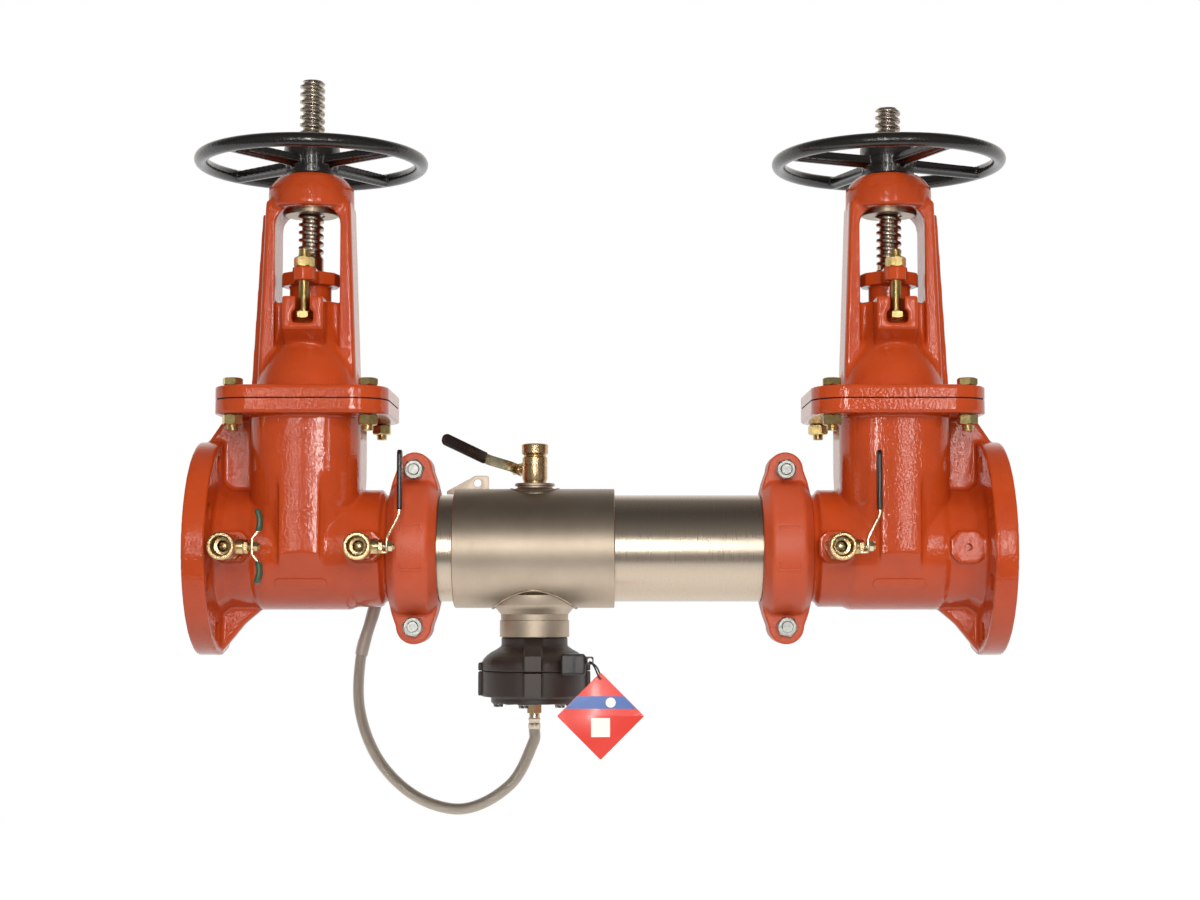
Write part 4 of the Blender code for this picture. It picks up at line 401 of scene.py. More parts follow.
lower_place = shift(BRANCH_X, 0.0, -0.193)
lower_ferrule = ferrule("lower_ferrule", lower_place)
lower_nipple = joined("lower_nipple", [
    turned("nipple_shank", [
        (0.0065, COVER_FOOT_Z + 0.006), (0.0065, COVER_FOOT_Z - 0.009), (0.005, COVER_FOOT_Z - 0.0112),
        (0.0046, -0.1775),
    ], 40, shift(BRANCH_X)),
    hexagon("nipple_hex", 0.015, COVER_FOOT_Z - 0.0115, COVER_FOOT_Z - 0.0003, shift(BRANCH_X)),
])
upper_seat_z = HOSE_ROUTE[-1][2]
upper_ferrule = ferrule("upper_ferrule", shift(ELBOW_X, ELBOW_Y, upper_seat_z))
elbow_out = smooth_route([
    (ELBOW_X, ELBOW_Y, upper_seat_z + FERRULE_LENGTH), (ELBOW_X, ELBOW_Y, -0.007),
    (ELBOW_X, ELBOW_Y - 0.0035, -0.0012), (ELBOW_X, ELBOW_Y - 0.009, 0.0),
], 0.0008)
upper_elbow = joined("upper_elbow", [
    crisp(sleeve("elbow_arm", elbow_out, 0.0062, 32)),
    rod("elbow_shank", TAP_R - 0.0006, PAD_Y + 0.001, PAD_Y - 0.011, 32, shift(ELBOW_X) @ ALONG_Y),
    hexagon("elbow_hex", 0.023, PAD_Y + 0.0003, 0.0815, shift(ELBOW_X) @ ALONG_Y),
])
fit(lower_ferrule, crimped, "assembly", "stainless_steel")
fit(upper_ferrule, crimped, "assembly", "stainless_steel")
fit(lower_nipple, brass, "assembly", "brass", "hose_lower_fitting")
fit(upper_elbow, brass, "assembly", "brass", "hose_upper_fitting")
fit(hose, braid, "assembly", "steel_braid", "sensing_hose")


# A clear vinyl sleeve, blank here, is wrapped round the upper end of the hose. It is thin, a
# little cloudy and lifts off the braid along its edge.
sleeve_film = surface("clear_vinyl_film", "#E9DED6", (260.0, 2.0), depth=0.0003, roughness=0.28, ior=1.53,
                      transmission_weight=0.55, alpha=0.72)
film_points = [p for p in hose_path if -0.119 < p.z < -0.0585 and p.x < 0.2]
film = sleeve("hose_film_sleeve", film_points, lambda done: HOSE_R + 0.0009 + 0.0003 * math.sin(done * 160.0), 28)
fit(crisp(film), sleeve_film, "assembly", "steel_braid")


# Each gate valve's body is one ductile-iron sand casting: an end flange, the barrel, the bowl
# round the seat and the neck that carries the bonnet. It is sprayed inside and out with a
# glossy orange-red enamel, thick enough to round every edge and soft over the sand's grain.
LAY_LENGTH = 0.8572
VALVE_LENGTH = 0.2286
STEM_X = 0.1143
PIPE_R = 0.05715
GROOVE_DEPTH = 0.0021
BORE_R = 0.0508
FLANGE_R = 0.1143
FLANGE_T = 0.0238
FLANGE_HOLES = 8
FLANGE_HOLE_R = 0.0095
BOLT_CIRCLE_R = 0.09525
BARREL_R = 0.063
BOWL_R = 0.066
NECK_HALF_X = 0.058
NECK_CORNER_R = 0.045
JOINT_Z = 0.154
JOINT_HALF = 0.0915
JOINT_CORNER_R = 0.038
GASKET_T = 0.0015
BOW_R = 0.19
GUIDE_FACE_Y = 0.0731
GUIDE_HALF_X = 0.0215
WEDGE_R = 0.0545
WEDGE_HALF_T = 0.019
SEAT_GAP = 0.0003
SLOT_GAP = 0.0006
GUIDE_SLOT_HALF_X = 0.0116
GUIDE_SLOT_HALF_Y = 0.0644
CHAMBER_HALF_X = 0.044
CHAMBER_HALF_Y = 0.0551
CHAMBER_CORNER_R = 0.02
CAST_VOXEL = 0.0018
SIDE_ON = Matrix(((0.0, 0.0, 1.0, 0.0), (1.0, 0.0, 0.0, 0.0), (0.0, 1.0, 0.0, 0.0), (0.0, 0.0, 0.0, 1.0)))
INLET = Matrix.Identity(4)
OUTLET = shift(LAY_LENGTH) @ Matrix.Rotation(math.pi, 4, "Z")
VALVES = (("inlet_", INLET), ("outlet_", OUTLET))

enamel, tree, shader = substance("orange_red_enamel_on_cast_iron", "#B63D1B", roughness=0.1, ior=1.47)
two_tones(tree, shader, noise(tree, 28.0, 3.0, 0.55), "#AE3E18", "#C64D1E")
sand = noise(tree, 330.0, 2.0, 0.5)
relief(tree, shader, figure(tree, "MULTIPLY_ADD", noise(tree, 75.0, 2.0), 0.8, sand), 0.00028)


def round_corners(corners, steps=10):
    """An outline from (u, v, radius) corners, each rounded by an arc."""
    points = []
    for i, (u, v, radius) in enumerate(corners):
        here = Vector((u, v))
        if radius <= 0.0:
            points.append((u, v))
            continue
        before = (Vector(corners[i - 1][:2]) - here).normalized()
        after = (Vector(corners[(i + 1) % len(corners)][:2]) - here).normalized()
        half = before.angle(after) / 2
        centre = here + (before + after).normalized() * (radius / math.sin(half))
        start = here + before * (radius / math.tan(half)) - centre
        end = here + after * (radius / math.tan(half)) - centre
        sweep = math.atan2(start.x * end.y - start.y * end.x, start.dot(end))
        for k in range(steps + 1):
            points.append(tuple(centre + Matrix.Rotation(sweep * k / steps, 2) @ start))
    return points


def rounded_square(half_u, half_v, radius, steps=10):
    corners = [(half_u, half_v), (-half_u, half_v), (-half_u, -half_v), (half_u, -half_v)]
    return round_corners([(u, v, radius) for u, v in corners], steps)


JOINT_OUTLINE = rounded_square(JOINT_HALF, JOINT_HALF, JOINT_CORNER_R, 14)
CHAMBER_OUTLINE = rounded_square(CHAMBER_HALF_X, CHAMBER_HALF_Y, CHAMBER_CORNER_R, 6)
STOCK_OUTLINE = rounded_square(0.12, 0.12, 0.01, 2)


def cad_copy(node):
    """A loose copy of a CAD node's mesh, sewn into one closed skin, to be dressed over."""
    form = bmesh.new()
    form.from_mesh(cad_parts[node].data)
    bmesh.ops.remove_doubles(form, verts=form.verts, dist=1e-6)
    return solid(node + "_copy", form)


def cut(piece, *tools):
    """Cuts each tool out of a piece in turn. A tool's own parts don't overlap."""
    for tool in tools:
        machine = piece.modifiers.new("machining", "BOOLEAN")
        machine.operation = "DIFFERENCE"
        machine.solver = "MANIFOLD"
        machine.object = tool
        settled(piece)
        bpy.data.objects.remove(tool)
    return piece


def cast(name, pieces, voxel, passes, *tools):
    """One casting: overlapping solids grown together, softened, and then machined."""
    casting = joined(name, pieces)
    skin_over = casting.modifiers.new("one skin", "REMESH")
    skin_over.mode = "VOXEL"
    skin_over.voxel_size = voxel
    if passes:
        soften = casting.modifiers.new("soft edges", "SMOOTH")
        soften.factor = 0.5
        soften.iterations = passes
    settled(casting)
    return crisp(cut(casting, *tools), 40.0)


def fillet(radius, corner_u, corner_v, start_deg, end_deg, steps=6):
    """Points of an arc about a centre, used where one turned face runs into the next."""
    arc = []
    for k in range(steps + 1):
        a = math.radians(start_deg + (end_deg - start_deg) * k / steps)
        arc.append((corner_u + radius * math.cos(a), corner_v + radius * math.sin(a)))
    return arc


def crowned_outline(half_x, half_y):
    """The neck's outline from above: faces bowed on a wide radius that run into big round corners."""
    flat = 0.02
    edge = half_y - BOW_R + math.sqrt(BOW_R**2 - flat**2)
    quarter = []
    for k in range(6):
        x = flat * k / 5
        quarter.append((x, half_y - BOW_R + math.sqrt(BOW_R**2 - x**2)))
    for k in range(1, 11):
        a = math.pi / 2 * k / 10
        quarter.append((flat + (half_x - flat) * math.sin(a), edge - NECK_CORNER_R * (1.0 - math.cos(a))))
    half = quarter + [(x, -y) for x, y in quarter[::-1]]
    return half + [(-x, y) for x, y in half[::-1][1:-1]]


def trimmed_guides(prefix, at):
    """The CAD body with its two guide blocks bowed in front and narrowed to what the casting shows."""
    body = cad_copy(prefix + "valve_body")
    bow = [(0.001 * k, -GUIDE_FACE_Y + BOW_R - math.sqrt(BOW_R**2 - (0.001 * k)**2)) for k in range(-30, 31)]
    step = [(-0.09, 0.138), (-0.07, 0.138), (-0.07, 0.0715), (-0.0668, 0.0715), (-0.0668, 0.0), (-0.0651, -0.012),
            (-0.0606, -0.0265), (-0.0562, -0.035), (-0.09, -0.035)]
    for turn in (0.0, math.pi):
        spot = at @ shift(STEM_X) @ Matrix.Rotation(turn, 4, "Z")
        cut(body, prism("guide_face", [(-0.03, -0.09)] + bow + [(0.03, -0.09)], -0.035, 0.138, spot))
        for side in (-1, 1):
            low, high = sorted((side * GUIDE_HALF_X, side * 0.033))
            cut(body, prism("guide_side", step, low, high, spot @ SIDE_ON))
    return body


def valve_body_solids(at):
    """The smooth forms of the body, which round off the CAD solid's flat facets."""
    toe = 0.011
    barrel = turned("barrel_form", [
        (PIPE_R, VALVE_LENGTH), (PIPE_R, 0.2127), (PIPE_R - GROOVE_DEPTH, 0.2127), (PIPE_R - GROOVE_DEPTH, 0.2032),
        (PIPE_R, 0.2032), (PIPE_R, 0.1987), (BARREL_R, 0.1957),
    ] + fillet(toe, BARREL_R + toe, FLANGE_T + toe, 180.0, 270.0) + [
        (FLANGE_R - 0.002, FLANGE_T), (FLANGE_R, FLANGE_T - 0.002), (FLANGE_R, 0.0),
    ], 96, at @ ALONG_X)
    centre = at @ shift(STEM_X)
    bowl = turned("bowl_form", mirrored([
        (BOWL_R - 0.007, NECK_HALF_X), (BOWL_R - 0.0025, NECK_HALF_X - 0.005), (BOWL_R, NECK_HALF_X - 0.012),
    ]), 96, centre @ ALONG_X)
    outline = rounded_square(NECK_HALF_X, BOWL_R + 0.0006, NECK_CORNER_R, 14)
    neck = prism("neck_form", outline, 0.0, 0.141, centre)
    outline = crowned_outline(NECK_HALF_X + 0.001, GUIDE_FACE_Y)
    crown = prism("crown_form", outline, 0.079, 0.142, centre)
    shoulder = prism("shoulder_form", outline, 0.046, 0.08)
    for vertex in shoulder.data.vertices:
        if vertex.co.z < 0.06:
            vertex.co.y *= 0.905
            vertex.co.x *= 0.985
    shoulder.data.transform(centre)
    lip = prism("lip_form", JOINT_OUTLINE, 0.139, JOINT_Z + 0.006, centre)
    return [barrel, bowl, neck, crown, shoulder, lip]


def body_machining(at):
    """The bored waterway, the drilled flange and the faced joint."""
    tools = [rod("waterway", BORE_R, VALVE_LENGTH + 0.01, -0.01, 72, at @ ALONG_X)]
    for k in range(FLANGE_HOLES):
        a = 2 * math.pi * (k + 0.5) / FLANGE_HOLES
        spot = at @ shift(0.0, BOLT_CIRCLE_R * math.cos(a), BOLT_CIRCLE_R * math.sin(a)) @ ALONG_X
        tools.append(rod("flange_hole", FLANGE_HOLE_R, FLANGE_T + 0.008, -0.01, 32, spot))
    tools.append(prism("joint_face", STOCK_OUTLINE, JOINT_Z, 0.2, at @ shift(STEM_X)))
    return tools


def hollow_forms(at):
    """The seat, slot and guides that the wedge slides in, and the chamber that it rises into."""
    spot = at @ shift(STEM_X)
    return [
        rod("seat_room", WEDGE_R + SEAT_GAP, WEDGE_HALF_T + SEAT_GAP, -WEDGE_HALF_T - SEAT_GAP, 72,
            spot @ ALONG_X),
        prism("wedge_slot", rounded_square(WEDGE_HALF_T + SLOT_GAP, WEDGE_R + SLOT_GAP, 0.0005, 1), 0.001,
              0.2, spot),
        prism("guide_slots", rounded_square(GUIDE_SLOT_HALF_X, GUIDE_SLOT_HALF_Y, 0.0005, 1), -0.0063, 0.2,
              spot),
        prism("chamber_room", CHAMBER_OUTLINE, 0.062, 0.2, spot),
    ]


DIMPLE_R = 0.0032
FLANGE_COCK_X = 0.044
for prefix, at in VALVES:
    solids = [trimmed_guides(prefix, at)] + valve_body_solids(at)
    tools = body_machining(at)
    if prefix == "outlet_":
        spot = shift(LAY_LENGTH - FLANGE_COCK_X, -PAD_Y, 0.0) @ ALONG_Y @ Matrix.Rotation(math.pi, 4, "X")
        tools.append(turned("outlet_dimple", [(DIMPLE_R * 1.4, 0.0025), (DIMPLE_R, -0.005)], 24, spot))
    drills = joined("body_drills", tools)
    body = cast(prefix + "body_casting", solids, CAST_VOXEL, 4, drills, *hollow_forms(at))
    fit(body, enamel, "assembly", "red_enamel", prefix + "valve_body")


# A raised oval tablet below each neck, left blank, is part of the body's casting.
OVAL_HALF_LENGTH = 0.028
OVAL_HALF_HEIGHT = 0.0055
OVAL_Z = -0.0385
OVAL_PROUD = 0.0013
for prefix, centre_x in (("inlet_", STEM_X), ("outlet_", LAY_LENGTH - STEM_X)):
    outline = rounded_square(OVAL_HALF_LENGTH, OVAL_HALF_HEIGHT, OVAL_HALF_HEIGHT * 0.98, 8)
    tablet = prism(prefix + "oval_tablet", outline, 0.0, 0.004)
    for vertex in tablet.data.vertices:
        u, v, out = vertex.co
        z = OVAL_Z + v
        proud = OVAL_PROUD if out > 0.002 else -0.003
        vertex.co = (centre_x + u, -math.sqrt(BOWL_R**2 - z**2) - proud, z)
    eased(tablet, 0.0009, 3)
    fit(tablet, enamel, "assembly", "red_enamel")


# The bonnet is a second casting in the same enamel: the joint's flange, a dome, the stuffing
# box with its T-slotted ears, and the yoke that holds the handwheel's nut over the stem.
BONNET_LOW_Z = JOINT_Z + GASKET_T
BONNET_HIGH_Z = 0.1689
DOME_R = 0.0585
DOME_STRETCH_Y = 1.13
YOKE_CAP_Z = 0.404
YOKE_ARCH_Z = 0.368
for prefix, at in VALVES:
    centre = at @ shift(STEM_X)
    rise = 0.225 - BONNET_HIGH_Z
    oval = centre @ Matrix.Diagonal((1.0, DOME_STRETCH_Y, 1.0, 1.0))
    dome_side = [
        (0.033, 0.235), (0.036, 0.218), (DOME_R * 0.72, BONNET_HIGH_Z + 0.75 * rise),
        (DOME_R * 0.81, BONNET_HIGH_Z + 0.6 * rise), (DOME_R * 0.885, BONNET_HIGH_Z + 0.45 * rise),
        (DOME_R * 0.945, BONNET_HIGH_Z + 0.28 * rise), (DOME_R * 0.985, BONNET_HIGH_Z + 0.1 * rise), (DOME_R, 0.163),
    ]
    dome = turned("dome_form", dome_side, 80, oval)
    flange = prism("bonnet_flange_form", JOINT_OUTLINE, BONNET_LOW_Z - 0.006, BONNET_HIGH_Z, centre)
    box = rod("box_form", 0.034, 0.265, 0.2, 64, centre)
    cap = turned("cap_form", [
        (0.0325, YOKE_CAP_Z), (0.0385, YOKE_CAP_Z - 0.0045), (0.0435, YOKE_CAP_Z - 0.0105),
        (0.0463, YOKE_CAP_Z - 0.018), (0.0465, YOKE_ARCH_Z + 0.001), (0.044, YOKE_ARCH_Z - 0.002),
    ], 80, centre)
    stock = prism("bonnet_stock", STOCK_OUTLINE, 0.12, BONNET_LOW_Z, centre)
    stem_way = rod("stem_way", 0.0143, 0.3, 0.14, 48, centre)
    packing_way = rod("packing_way", 0.023, 0.3, 0.2331, 48, centre)
    nut_way = rod("nut_way", 0.0234, 0.42, 0.35, 48, centre)
    under_arch = rod("under_arch", 0.03, YOKE_ARCH_Z, YOKE_ARCH_Z - 0.009, 48, centre)
    room = turned("dome_room", [
        (0.02, 0.205), (DOME_R * 0.72 - 0.009, BONNET_HIGH_Z + 0.75 * rise - 0.012), (DOME_R - 0.009, BONNET_HIGH_Z),
        (DOME_R - 0.009, 0.14),
    ], 48, oval)
    bonnet = cast(prefix + "bonnet_casting", [cad_copy(prefix + "bonnet"), dome, flange, box, cap], CAST_VOXEL, 4,
                  stock, stem_way, packing_way, nut_way, under_arch, room)
    fit(bonnet, enamel, "assembly", "red_enamel", prefix + "bonnet")


# A black fibre gasket, 1.5 mm thick, shows as a dark line all round the joint of body and bonnet.
fibre = surface("black_fibre_gasket", "#1E1A18", (1200.0, 2.0), depth=0.0001, roughness=0.85)
GASKET_INSET = 0.0016
for prefix, at in VALVES:
    half = JOINT_HALF - GASKET_INSET
    outline = rounded_square(half, half, JOINT_CORNER_R - GASKET_INSET, 14)
    centre = at @ shift(STEM_X)
    sheet = prism(prefix + "joint_gasket", outline, JOINT_Z - 0.0002, BONNET_LOW_Z + 0.0002, centre)
    fit(crisp(cut(sheet, prism("gasket_hole", CHAMBER_OUTLINE, 0.14, 0.17, centre))), fibre, "assembly", "red_enamel")


# The joint is closed by four M12 hexagon bolts with nuts, and the gland by two more whose heads
# hang in the bonnet's T slots. All are steel, zinc plated and passivated yellow.
yellow_zinc = surface("yellow_passivated_zinc", "#C9A85B", (190.0, 3.0), ("#A8853F", "#EBDDA2"), metallic=1.0,
                      roughness=0.27)
BOLT_R = 0.006
THREAD_PITCH = 0.00175
BOLT_FLATS = 0.019
HEAD_HEIGHT = 0.008
NUT_HEIGHT = 0.0109
BOLT_SPREAD_X = 0.071
BOLT_SPREAD_Y = 0.069
GLAND_SPREAD_Y = 0.05
GLAND_BOLT_HEIGHTS = (0.2422, 0.2973, 0.2495, 0.3168)
LIP_T = 0.0153
BOLT_TAIL = 0.0168


def threaded(name, major, root, pitch, low, high, sides=24, hand=1.0, chamfer=None, place=None, per_pitch=8):
    """A threaded bar: one closed skin whose radius follows the thread round and up."""
    form = bmesh.new()
    chamfer = chamfer or (major - root)
    count = max(4, int(per_pitch * (high - low) / pitch))
    rings = []
    for i in range(count + 1):
        z = low + (high - low) * i / count
        end = min(z - low, high - z)
        limit = major - max(0.0, chamfer - end)
        ring = []
        for k in range(sides):
            phase = (z / pitch - hand * k / sides) % 1.0
            crest = min(1.0, max(0.0, 2.2 * (1.0 - abs(2.0 * phase - 1.0)) - 0.6))
            crest = crest * crest * (3.0 - 2.0 * crest)
            radius = min(limit, root + (major - root) * crest)
            a = 2 * math.pi * k / sides
            ring.append(form.verts.new((radius * math.cos(a), radius * math.sin(a), z)))
        rings.append(ring)
    for lower, upper in zip(rings, rings[1:]):
        for k in range(sides):
            n = (k + 1) % sides
            form.faces.new((lower[k], lower[n], upper[n], upper[k]))
    form.faces.new(rings[0][::-1])
    form.faces.new(rings[-1])
    return crisp(solid(name, form, place), 60.0)


def bolt_set(node, spot, turn, head_low, nut_low, shank_low, shank_high):
    """A hexagon bolt with its nut, both turned alike about the shank."""
    faces = spot @ Matrix.Rotation(turn, 4, "Z")
    bolt = joined(node + "_set", [
        hexagon(node + "_head", BOLT_FLATS, head_low, head_low + HEAD_HEIGHT, faces),
        hexagon(node + "_nut", BOLT_FLATS, nut_low, nut_low + NUT_HEIGHT, faces),
        threaded(node + "_shank", BOLT_R, BOLT_R - 0.0009, THREAD_PITCH, shank_low, shank_high, place=spot),
    ])
    fit(crisp(bolt, 28.0), yellow_zinc, "assembly", "yellow_zinc", node)


for prefix, at in VALVES:
    head_low = BONNET_HIGH_Z + 0.0003
    nut_high = JOINT_Z - LIP_T
    corners = [(sx * BOLT_SPREAD_X, sy * BOLT_SPREAD_Y) for sy in (-1, 1) for sx in (-1, 1)]
    for index, (side_x, side_y) in enumerate(corners):
        spot = at @ shift(STEM_X + side_x, side_y) @ Matrix.Rotation(0.4 + index * 0.9, 4, "Z")
        bolt_set(prefix + "bonnet_bolt_%d" % (index + 1), spot, 0.0, head_low, nut_high - NUT_HEIGHT,
                 nut_high - BOLT_TAIL, head_low + 0.001)
    for side, word in ((-1, "front"), (1, "back")):
        spot = at @ shift(STEM_X, side * GLAND_SPREAD_Y)
        bolt_set(prefix + "gland_bolt_" + word, spot, math.pi / 6, *GLAND_BOLT_HEIGHTS)


# The gland follower is a small iron casting in the valve's enamel. Its sleeve presses the packing.
for prefix, at in VALVES:
    centre = at @ shift(STEM_X)
    collar = turned("gland_form", [
        (0.0265, 0.297), (0.0285, 0.2955), (0.0285, 0.2845), (0.027, 0.283),
    ], 56, centre)
    neck = rod("gland_sleeve", 0.0226, 0.285, 0.2345, 48, centre)
    bore = rod("gland_bore", 0.0141, 0.31, 0.22, 48, centre)
    gland = cast(prefix + "gland_casting", [cad_copy(prefix + "gland"), collar, neck], 0.0011, 3, bore)
    fit(gland, enamel, "assembly", "red_enamel", prefix + "gland")


# The stem is turned from stainless bar, 27 mm across, with a single left-hand Acme thread of
# three turns to the inch. It doesn't turn: the nut in the handwheel lifts it and the wedge.
STEM_R = 0.0137
STEM_ROOT_R = 0.0101
STEM_PITCH = 0.00847
INLET_OPENING = 0.03
turned_steel = surface("turned_stainless_bar", "#BDB0A0", (60.0, 5.0, 0.7), ("#8E8173", "#DDD3C5"),
                       spread=(0.14, 0.32), metallic=1.0, roughness=0.22)
for prefix, at, lift in (("inlet_", INLET, INLET_OPENING), ("outlet_", OUTLET, 0.0)):
    spot = at @ shift(STEM_X, 0.0, lift)
    thread = threaded("stem_thread", STEM_R, STEM_ROOT_R, STEM_PITCH, 0.284, 0.48, 56, -1.0, 0.0025, spot,
                      16)
    shaft = turned("stem_shaft", [
        (STEM_ROOT_R, 0.29), (STEM_R - 0.0008, 0.2855), (STEM_R, 0.2845), (STEM_R, 0.0833), (0.011, 0.0803),
        (0.011, 0.069), (0.0185, 0.069), (0.0185, 0.06),
    ], 56, spot)
    stem = joined(prefix + "stem_bar", [thread, shaft])
    fit(crisp(stem, 50.0), turned_steel, prefix + "stem_and_wedge", "stainless_steel", prefix + "stem")


# The handwheel is cast iron in glossy black enamel, keyed to a bronze nut that turns in the
# yoke. Its round rim stands on four flat, slightly ribbed spokes.
WHEEL_Z = 0.42
WHEEL_R = 0.119
RIM_R = 0.008
black_enamel = surface("black_enamel_on_cast_iron", "#15120F", (260.0, 3.0, 0.6), depth=0.0005, roughness=0.22,
                       ior=1.52, coat_weight=0.4, coat_roughness=0.08)
bronze = surface("machined_bronze", "#A89A86", (140.0, 4.0), ("#7F7160", "#C3B59F"), metallic=1.0, roughness=0.35)


def torus_form(name, radius, thickness, place, around=160, section=20):
    """A closed ring of round section."""
    form = bmesh.new()
    grid = []
    for i in range(around):
        a = 2 * math.pi * i / around
        ring = []
        for k in range(section):
            b = 2 * math.pi * k / section
            out = radius + thickness * math.cos(b)
            ring.append(form.verts.new((out * math.cos(a), out * math.sin(a), thickness * math.sin(b))))
        grid.append(ring)
    for i in range(around):
        for k in range(section):
            j, n = (i + 1) % around, (k + 1) % section
            form.faces.new((grid[i][k], grid[j][k], grid[j][n], grid[i][n]))
    return solid(name, form, place)


for prefix, at, first_deg in (("inlet_", INLET, -37.0), ("outlet_", OUTLET, 114.0)):
    hub_spot = at @ shift(STEM_X, 0.0, WHEEL_Z)
    solids = [torus_form("rim", WHEEL_R, RIM_R - 0.0004, hub_spot)]
    solids.append(lathe("hub", [
        (0.0285, 0.018), (0.0305, 0.016), (0.0305, 0.004), (0.029, -0.002), (0.0275, -0.0155), (0.0146, -0.0155),
        (0.0146, 0.018),
    ], 64, hub_spot))
    for index in range(4):
        turn = Matrix.Rotation(math.radians(first_deg + 90.0 * index), 4, "Z")
        solids.append(prism("spoke", [
            (0.022, -0.01), (WHEEL_R, -0.0064), (WHEEL_R, 0.0064), (0.022, 0.01),
        ], -0.0042, 0.0042, hub_spot @ turn))
        solids.append(prism("spoke_rib", [
            (0.022, -0.0036), (WHEEL_R - 0.004, -0.003), (WHEEL_R - 0.004, 0.003), (0.022, 0.0036),
        ], -0.008, 0.005, hub_spot @ turn))
    wheel = cast(prefix + "wheel_casting", solids, 0.0014, 4)
    fit(wheel, black_enamel, prefix + "wheel", "black_enamel", prefix + "handwheel")
    nut = lathe(prefix + "yoke_nut", [
        (0.0225, -0.016), (0.0225, -0.0523), (0.0285, -0.0523), (0.029, -0.053), (0.029, -0.058), (0.0282, -0.0588),
        (0.0146, -0.0588), (0.0146, -0.016),
    ], 64, hub_spot)
    fit(crisp(nut, 30.0), bronze, prefix + "wheel", "black_enamel")
    lock_nut = hexagon(prefix + "wheel_nut", 0.048, 0.0165, 0.024, hub_spot)
    lock_hole = rod("wheel_nut_hole", 0.0149, 0.03, 0.01, 40, hub_spot)
    fit(crisp(cut(lock_nut, lock_hole), 28.0), black_enamel, prefix + "wheel", "black_enamel")


# The wedge is ductile iron in a moulded rubber skin. It shows only through the flanges.
rubber = surface("moulded_epdm_rubber", "#1B1A19", (90.0, 3.0), ("#151413", "#2A2827"), roughness=0.62)


def dress(node, made):
    """Gives a CAD node that keeps its own shape a better material."""
    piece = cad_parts[node]
    piece.data.materials.clear()
    piece.data.materials.append(made)


for node in ("inlet_wedge", "outlet_wedge", "inlet_coupling_gasket", "outlet_coupling_gasket", "check_1_clapper",
             "check_2_clapper", "relief_diaphragm"):
    dress(node, rubber)


# Grooved couplings join the valves to the stainless body: two ductile-iron housings in a
# thinner, more orange enamel, pulled together by two zinc-plated bolts with oval necks.
COUPLING_HALF = 0.02625
COUPLING_R = 0.0745
RIDGE_HALF = 0.0165
EAR_R = 0.019
LUG_Z = 0.0835
orange, tree, shader = substance("orange_enamel_on_ductile_iron", "#C24C26", roughness=0.36, ior=1.5)
two_tones(tree, shader, noise(tree, 40.0, 3.0), "#B74522", "#C9542E")
relief(tree, shader, noise(tree, 520.0, 3.0, 0.65), 0.0004)
clear_zinc = surface("clear_passivated_zinc", "#A9ABA8", (220.0, 3.0), ("#7F8584", "#C9CBC6"), depth=0.0004,
                     metallic=1.0, roughness=0.42)
TABLET_HALF_X = 0.0125
TABLET_HALF_Z = 0.025
joint_x = VALVE_LENGTH + 0.0016
for prefix, middle_x in (("inlet_", joint_x), ("outlet_", LAY_LENGTH - joint_x)):
    for side, word in ((-1, "front"), (1, "back")):
        name = prefix + "coupling_" + word
        band = turned(name + "_band", mirrored([
            (PIPE_R + 0.003, COUPLING_HALF), (PIPE_R + 0.0065, COUPLING_HALF),
            (COUPLING_R - 0.0012, RIDGE_HALF + 0.0014), (COUPLING_R, RIDGE_HALF - 0.0014),
        ]), 96, shift(middle_x) @ ALONG_X)
        depths = sorted((0.0, -side * 0.0222))
        ears = []
        for end in (-1, 1):
            foot = [(0.0256, 0.045), (0.0256, 0.062), (0.0238, 0.07)]
            ear = foot + fillet(EAR_R, 0.0, LUG_Z, 0.0, 180.0, 20) + [(-u, v) for u, v in foot[::-1]]
            ears.append(prism(name + "_ear", [(u, v * end) for u, v in ear], *depths, shift(middle_x) @ FRONT_VIEW))
        pipe_room = turned(name + "_room", mirrored([
            (PIPE_R - 0.0014, 0.04), (PIPE_R - 0.0014, 0.018), (0.0665, 0.018),
        ]), 72, shift(middle_x) @ ALONG_X)
        low, high = sorted((side * 0.0015, -side * 0.12))
        other_half = prism(name + "_other", [
            (middle_x - 0.06, low), (middle_x + 0.06, low), (middle_x + 0.06, high), (middle_x - 0.06, high),
        ], -0.12, 0.12)
        housing = cast(name + "_casting", [band] + ears, 0.0014, 3, pipe_room, other_half)
        fit(housing, orange, "assembly", "orange_enamel", name)
    frame_outer = rounded_square(TABLET_HALF_X, TABLET_HALF_Z, 0.003, 4)
    frame_inner = rounded_square(TABLET_HALF_X - 0.0018, TABLET_HALF_Z - 0.0018, 0.002, 4)
    tablet = prism(prefix + "coupling_tablet", frame_outer, 0.0, 0.0044)
    cut(tablet, prism("coupling_recess", frame_inner, 0.003, 0.006))
    for vertex in tablet.data.vertices:
        u, v, out = vertex.co
        vertex.co = (middle_x + u, -math.sqrt((COUPLING_R - 0.0032 + out)**2 - v**2), v)
    eased(tablet, 0.0003, 2)
    fit(tablet, orange, "assembly", "orange_enamel")
    for end, word in ((1, "top"), (-1, "bottom")):
        node = prefix + "coupling_bolt_" + word
        spot = shift(middle_x, 0.0, end * LUG_Z) @ ALONG_Y
        bolt = joined(node + "_set", [
            hexagon(node + "_nut", 0.0195, -0.0332, -0.0223, spot @ Matrix.Rotation(0.3 * end, 4, "Z")),
            threaded(node + "_shank", 0.0062, 0.0053, 0.002, -0.0372, 0.024, 28, place=spot),
            turned(node + "_head", [
                (0.004, 0.0303), (0.007, 0.0292), (0.009, 0.0268), (0.00975, 0.024), (0.00975, 0.0223),
            ], 48, spot),
        ])
        fit(crisp(bolt, 28.0), clear_zinc, "assembly", "clear_zinc", node)


